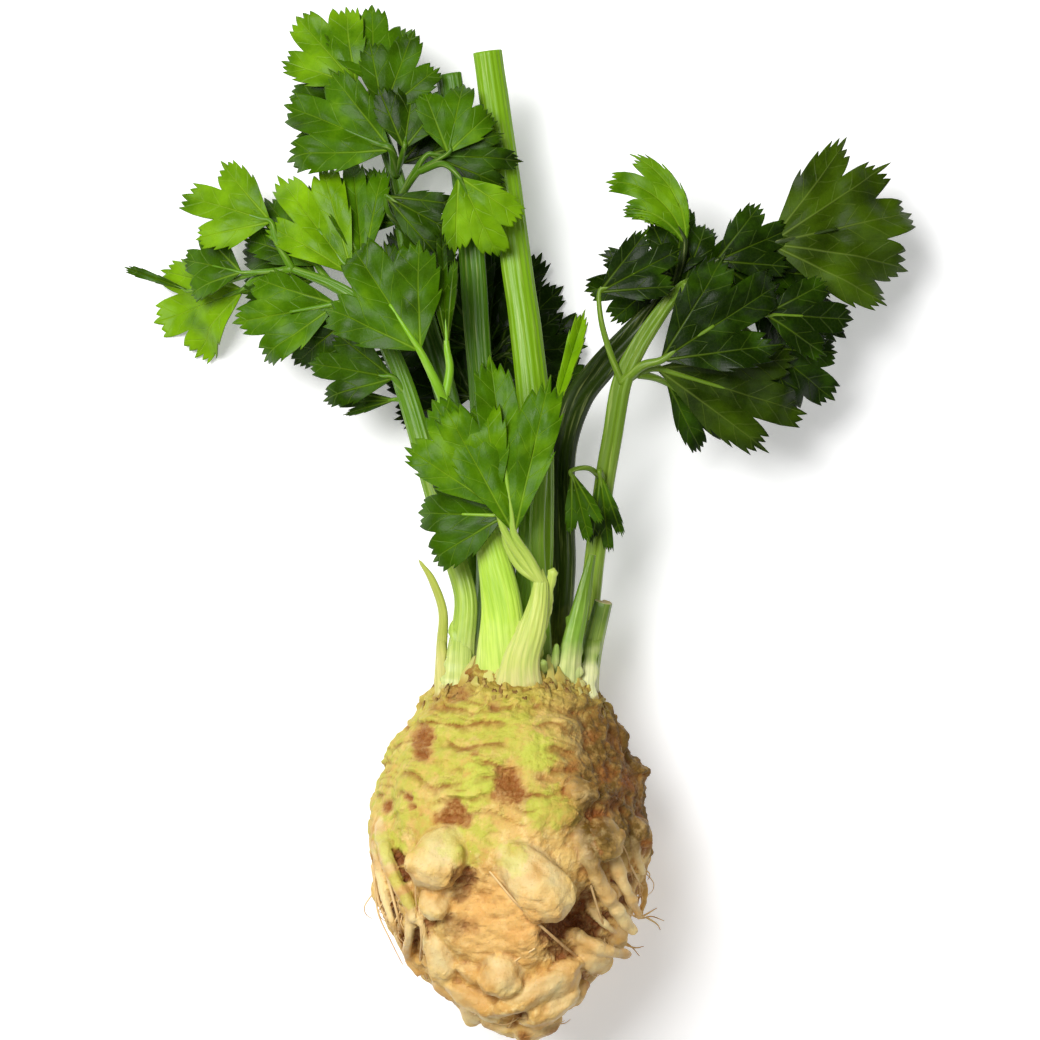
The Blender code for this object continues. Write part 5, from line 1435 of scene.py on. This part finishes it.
# %% Skins of the leaves
def leaf_skin(name, deep, mid, bright, vein, rough, vein_lift):
    """One side of a leaf: three greens by the leaf's tone, and its veins' colour and height."""
    made, tree = new_skin(name)
    leaf = tree.nodes.new("ShaderNodeSeparateXYZ")
    tree.links.new(add(tree, "ShaderNodeAttribute", out="Vector", attribute_name="leaf"), leaf.inputs[0])
    veins = tree.nodes.new("ShaderNodeSeparateXYZ")
    tree.links.new(add(tree, "ShaderNodeAttribute", out="Vector", attribute_name="vein"), veins.inputs[0])
    place = add(tree, "ShaderNodeTexCoord", out="Object")
    blotch = add(tree, "ShaderNodeTexNoise", {"Vector": place, "Scale": 1 / (15 * MM), "Detail": 3})
    # The tone, partly painted light and shade, and random blotches pick the green.
    toned = add(tree, "ShaderNodeMath", {0: blotch, 1: 1.0, 2: -0.5}, operation="MULTIPLY_ADD")
    toned = add(tree, "ShaderNodeMath", {0: toned, 1: leaf.outputs["Z"]}, operation="ADD")
    part = add(tree, "ShaderNodeMapRange", {0: toned, 1: 0.0, 2: 0.5})
    tone = add(tree, "ShaderNodeMix", {0: part, 6: colour(deep), 7: colour(mid)}, **COLOURS)
    part = add(tree, "ShaderNodeMapRange", {0: toned, 1: 0.5, 2: 1.0})
    tone = add(tree, "ShaderNodeMix", {0: part, 6: tone, 7: colour(bright)}, **COLOURS)
    # Side veins leave a lobe's vein every 8 mm at a slant; 0.15 mm wide on a real leaf, drawn 0.5 mm to show.
    beside = add(tree, "ShaderNodeMath", {0: veins.outputs["Y"]}, operation="ABSOLUTE")
    slant = add(tree, "ShaderNodeMath", {0: beside, 1: -1.15, 2: veins.outputs["X"]},
                operation="MULTIPLY_ADD")
    wobble = add(tree, "ShaderNodeMath", {0: blotch, 1: 5.0, 2: slant}, operation="MULTIPLY_ADD")
    saw = add(tree, "ShaderNodeMath", {0: wobble, 1: 4.0}, operation="PINGPONG")
    side_vein = add(tree, "ShaderNodeMapRange", {0: saw, 1: 0.45, 2: 0.1})
    main_vein = add(tree, "ShaderNodeMapRange", {0: veins.outputs["Z"], 1: 0.75, 2: 0.2})
    cells = add(tree, "ShaderNodeTexVoronoi", {"Vector": place, "Scale": 1 / (1.8 * MM)},
                feature="DISTANCE_TO_EDGE")
    net = add(tree, "ShaderNodeMapRange", {0: cells, 1: 0.14, 2: 0.0, 4: 0.07})
    both = add(tree, "ShaderNodeMath", {0: side_vein, 1: 0.4}, operation="MULTIPLY")
    both = add(tree, "ShaderNodeMath", {0: both, 1: main_vein}, operation="MAXIMUM")
    both = add(tree, "ShaderNodeMath", {0: both, 1: net}, operation="MAXIMUM")
    # A vein is paler than its leaf, and less so on a deep green one.
    part = add(tree, "ShaderNodeMapRange", {0: leaf.outputs["Z"], 2: 0.7, 3: 0.2, 4: 0.5})
    part = add(tree, "ShaderNodeMath", {0: both, 1: part}, operation="MULTIPLY")
    tone = add(tree, "ShaderNodeMix", {0: part, 6: tone, 7: colour(vein)}, **COLOURS)
    glossy = add(tree, "ShaderNodeMapRange", {0: blotch, 1: 0.3, 2: 0.7, 3: rough - 0.06, 4: rough + 0.08})
    height = add(tree, "ShaderNodeMath", {0: both, 1: vein_lift}, operation="MULTIPLY")
    relief = add(tree, "ShaderNodeBump", {"Strength": 0.8, "Distance": 0.35 * MM, "Height": height})
    skin = add(tree, "ShaderNodeBsdfPrincipled", {
        "Base Color": tone, "Roughness": glossy, "IOR": 1.45, "Normal": relief,
        "Specular IOR Level": 0.12,
        "Subsurface Weight": 0.06, "Subsurface Radius": (0.5, 1.0, 0.05), "Subsurface Scale": 1 * MM})
    tree.links.new(skin, tree.nodes.new("ShaderNodeOutputMaterial").inputs["Surface"])
    return made


upper_skin = leaf_skin("waxy_leaf_upper_side", "#122400", "#406800", "#82B00C", "#90B42E", 0.36, -1.0)
under_skin = leaf_skin("matt_leaf_under_side", "#1A2A00", "#425C00", "#749020", "#8AA044", 0.46, 1.0)
for name in LEAVES:
    leaves = plant_piece(f"{name}_leaves", blades_of(name), "leaf_green", [], name)
    thicken = leaves.modifiers.new("thickness", "SOLIDIFY")
    thicken.thickness = BLADE_THICKNESS * MM
    thicken.offset = 0
    thicken.material_offset = 1
    thicken.material_offset_rim = 1
    leaves.data.materials.append(upper_skin)
    leaves.data.materials.append(under_skin)
    with_modifiers(leaves)
    print(name, "leaves:", len(leaves.data.polygons), "faces")

# %% [markdown]
# ### Leaf stems
# Each leaflet hangs on a thin stem that forks from the stalk and runs on under its blade as the midrib. A
# tapered tube does it, in the colour of the stalk's upper end.

# %% Leaf stems
def stems_of(name):
    """All the leaf stems of a frond as one mesh."""
    growth = Growth("strand")
    points = [Vector(p[:3]) for p in STALK_ROUTES[name]]
    grown = min(130.0, sum((b - a).length for a, b in zip(points, points[1:])))
    for leaf in LEAVES[name]:
        frames = midrib(leaf)
        start = max(1.0, min(2.2, leaf.length / 24))
        route = (*leaf.stem, frames[3][0] - frames[3][3] * 0.2, frames[10][0] - frames[10][3] * 0.5)
        add_tube(growth, route, (start, start * 0.3), sides=16, rings=8 * len(route),
                 values=lambda t: {"strand": (t * 3, grown + 70 * t, 0.0)})
    return growth.mesh(f"{name}_stems")


for name in LEAVES:
    plant_piece(f"{name}_leaf_stems", stems_of(name), "leaf_green", [stalk_skins[name]], name)
print("leaf stems made for", len(LEAVES), "fronds")

# %% [markdown]
# ## Crown scales
# Old leaf bases have dried to ragged brown scales round the crown. Each scale is a small curved sheet
# with torn edges that leans towards the stalks. A ray towards the root's middle finds the carved skin
# that it grows from.

# %% Crown scales
SCALES = 190
SCALE_COLUMNS, SCALE_ROWS = 6, 5


def add_scales():
    """The scales by rule, each a sheet of a few columns and rows that narrows to its torn end."""
    growth = Growth("tip")
    skin = bvhtree.BVHTree.FromPolygons(
        [v.co for v in root_mesh.vertices], [p.vertices for p in root_mesh.polygons])
    draw = random.Random(41)
    for i in range(SCALES):
        polar = math.radians(draw.uniform(19, 37))
        way = crown_way(polar, draw.uniform(0, 2 * math.pi))
        foot = skin.ray_cast(root_surface(way, 12) * MM, -way)[0]
        foot = foot / MM - way * 0.7 if foot else root_surface(way, -0.8)
        up = (AXIS - way * AXIS.dot(way)).normalized()
        side = up.cross(way)
        up = (up + side * draw.uniform(-0.7, 0.7)).normalized()
        lean = (way * draw.uniform(0.25, 0.8) + up).normalized()
        length, width = draw.uniform(2.5, 8), draw.uniform(1.8, 4.5)
        grid = []
        for j in range(SCALE_ROWS + 1):
            t = j / SCALE_ROWS
            line = []
            for k in range(SCALE_COLUMNS + 1):
                s = k / SCALE_COLUMNS - 0.5
                torn = 1 - 0.35 * abs(noise.noise(Vector((k * 1.7, i * 3.1, 0.5)))) * t
                narrow = 1 - 0.55 * t**1.5
                place = foot + side * s * width * narrow + lean * length * t * torn
                bend = 1.2 * (0.25 - s * s) * width * 0.3 + 0.8 * t * t * noise.noise(Vector((i, s * 3, t)))
                place += way * bend
                line.append(growth.corner(place, tip=t * 0.8 + 0.2 * draw.random()))
            grid.append(line)
        for low, high in zip(grid, grid[1:]):
            for k in range(SCALE_COLUMNS):
                growth.face((low[k], low[k + 1], high[k + 1], high[k]))
    return growth


def dry_scale():
    """Dried leaf base: papery and fibrous, straw-coloured at the foot and brown towards its torn tip."""
    made, tree = new_skin("dry_leaf_base_papery")
    place = add(tree, "ShaderNodeTexCoord", out="Object")
    tip = add(tree, "ShaderNodeAttribute", out="Fac", attribute_name="tip")
    blotch = add(tree, "ShaderNodeTexNoise", {"Vector": place, "Scale": 1 / (5 * MM), "Detail": 5})
    fine = add(tree, "ShaderNodeTexNoise", {"Vector": place, "Scale": 1 / (0.9 * MM), "Detail": 3})
    part = add(tree, "ShaderNodeMapRange", {0: blotch, 1: 0.38, 2: 0.62})
    tone = add(tree, "ShaderNodeMix", {0: part, 6: colour("#8A6A2A"), 7: colour("#BCA650")}, **COLOURS)
    part = add(tree, "ShaderNodeMath", {0: tip, 1: fine}, operation="MULTIPLY")
    part = add(tree, "ShaderNodeMapRange", {0: part, 1: 0.2, 2: 0.5})
    tone = add(tree, "ShaderNodeMix", {0: part, 6: tone, 7: colour("#6E421A")}, **COLOURS)
    relief = add(tree, "ShaderNodeBump", {"Strength": 0.7, "Distance": 0.3 * MM, "Height": fine})
    rough = add(tree, "ShaderNodeMapRange", {0: fine, 3: 0.55, 4: 0.8})
    skin = add(tree, "ShaderNodeBsdfPrincipled", {"Base Color": tone, "Roughness": rough, "IOR": 1.45,
                                                 "Normal": relief})
    tree.links.new(skin, tree.nodes.new("ShaderNodeOutputMaterial").inputs["Surface"])
    return made


scales = plant_piece("crown_scales", add_scales().mesh("crown_scales"), "root_skin", [dry_scale()])
thicken = scales.modifiers.new("thickness", "SOLIDIFY")
thicken.thickness = 0.4 * MM
with_modifiers(scales)
print("crown scales:", len(scales.data.polygons), "faces")

# %% [markdown]
# ### Leaf bases
# Every leaf that grew here has left the foot of its stalk on the crown. The feet stand like short pale
# tongues before the stalks, so the root passes into the stalks without a hard line. Each is a flattened,
# tapered tube that starts on the shoulder and leans on the stalks, in a stalk skin that is brown at its
# foot.

# %% Leaf bases
# Turn round the crown from straight up, degrees from the crown's middle, length, width and lean.
LEAF_BASES = (
    (-80, 26, 13, 8, 0.0), (-66, 27, 17, 10, 0.1), (-55, 25, 9, 6, 0.5), (-47, 28, 13, 9, 0.0),
    (-36, 25, 8, 7, 0.4), (-27, 27, 13, 9, 0.05), (-15, 26, 9, 8, 0.3), (-6, 28, 12, 10, 0.0),
    (5, 27, 18, 10, 0.0), (15, 26, 8, 6, 0.5), (23, 28, 15, 6, 0.1), (31, 26, 9, 7, 0.5),
    (39, 27, 17, 6, 0.05), (49, 28, 10, 8, 0.4), (59, 26, 19, 9, 0.05), (70, 27, 10, 7, 0.4),
    (84, 26, 13, 7, 0.1), (-31, 30, 6, 6, 0.6), (-10, 31, 5, 6, 0.6), (11, 31, 6, 5, 0.6),
    (28, 30, 6, 5, 0.7), (44, 31, 6, 6, 0.7), (105, 26, 13, 8, 0.1), (130, 26, 15, 9, 0.1),
    (160, 26, 13, 9, 0.1), (190, 26, 14, 8, 0.1), (215, 26, 13, 9, 0.1), (245, 26, 15, 8, 0.1),
    (265, 26, 13, 8, 0.1),
)


def add_leaf_bases():
    """The old leaf bases, each a flattened tube from under the skin to its leaning tip."""
    growth = Growth("strand")
    right = AXIS.cross(Vector((0, 0, 1))).normalized()
    up = right.cross(AXIS)
    for turn, polar, length, width, lean in LEAF_BASES:
        ring = up * math.cos(math.radians(turn)) + right * math.sin(math.radians(turn))
        way = AXIS * math.cos(math.radians(polar)) + ring * math.sin(math.radians(polar))
        foot = root_surface(way, -1.5)
        tangent = (AXIS - way * AXIS.dot(way)).normalized()
        side = ring.cross(AXIS) * 0.15 * noise.noise(foot * 0.3)
        tip = foot + (AXIS - ring * 0.62 + side) * length + ring * lean * length * 0.5
        route = (foot - way * 3, foot + tangent * 2 + way * 0.4, foot + (tip - foot) * 0.55 + ring * 0.6, tip)
        add_tube(growth, route, (width * 0.6, width * 0.1), sides=24, rings=30, uneven=0.6, flatness=0.28,
                 out=ring.copy(), values=lambda t: {"strand": (turn + t, length * t * 1.3 - 3, 0.0)})
    return growth


leaf_base_skin = stalk_skin("old_leaf_base_sheath", "#B89A44", "#CFC878", "#B0B858", (2, 15, 34))
leaf_bases = plant_piece("leaf_bases", add_leaf_bases().mesh("leaf_bases"), "root_skin", [leaf_base_skin])
print("leaf bases:", len(leaf_bases.data.polygons), "faces")

# %% [markdown]
# ## Floor and light
# A plain pale floor, one large soft light from the upper left and a weak fill keep the studio look of the
# photograph: bright, with soft shades that show the relief. The floor glows a little, so that the shades
# on it stay as faint as they are there.

# %% Floor and light
FLOOR_REACH = 3  # metres from its middle to each side
LIT_PLACE = Vector((0, 0.1, 0.03))  # what both lights face


def floor_paint():
    """Matt pale studio paint with the faintest unevenness."""
    made, tree = new_skin("studio_floor_matt_paint")
    place = add(tree, "ShaderNodeTexCoord", out="Object")
    cloud = add(tree, "ShaderNodeTexNoise", {"Vector": place, "Scale": 6.0, "Detail": 2})
    tone = add(tree, "ShaderNodeMix", {0: cloud, 6: colour("#F4F4F4"), 7: colour("#F8F8F8")}, **COLOURS)
    skin = add(tree, "ShaderNodeBsdfPrincipled", {
        "Base Color": tone, "Roughness": 0.8, "Emission Color": tone, "Emission Strength": 0.3})
    tree.links.new(skin, tree.nodes.new("ShaderNodeOutputMaterial").inputs["Surface"])
    return made


def add_floor():
    """A square of floor, a hair under the plant so that the two never touch."""
    mesh = bpy.data.meshes.new("floor")
    corners = [(x * FLOOR_REACH, y * FLOOR_REACH, 0) for x, y in ((-1, -1), (1, -1), (1, 1), (-1, 1))]
    mesh.from_pydata(corners, [], [(0, 1, 2, 3)])
    floor = bpy.data.objects.new("floor", mesh)
    floor.location.z = -0.2 * MM
    bpy.context.scene.collection.objects.link(floor)
    mesh.materials.append(floor_paint())
    floor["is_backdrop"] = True


def add_light(name, place, energy, size):
    """A square soft light of this many watts and metres that faces the plant."""
    lamp = bpy.data.lights.new(name, "AREA")
    lamp.energy, lamp.size = energy, size
    thing = bpy.data.objects.new(name, lamp)
    thing.location = place
    thing.rotation_euler = (LIT_PLACE - Vector(place)).to_track_quat("-Z", "Y").to_euler()
    bpy.context.scene.collection.objects.link(thing)


add_floor()
add_light("window_light", (-0.45, 0.5, 1.2), 21.0, 0.65)
add_light("fill_light", (0.45, -0.55, 1.2), 4.0, 0.7)
world = bpy.data.worlds.new("studio")
world.use_nodes = True
world.node_tree.nodes["Background"].inputs["Color"].default_value = (1, 1, 1, 1)
world.node_tree.nodes["Background"].inputs["Strength"].default_value = 0.11
bpy.context.scene.world = world
bpy.context.scene.view_settings.view_transform = "Standard"
print("floor and lights are in place")

# %% Measure the model's box and finish
lowest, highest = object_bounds()
seen_box = [list(lowest), list(highest)]
print("model box in mm:", [[round(v * 1000, 1) for v in corner] for corner in seen_box])
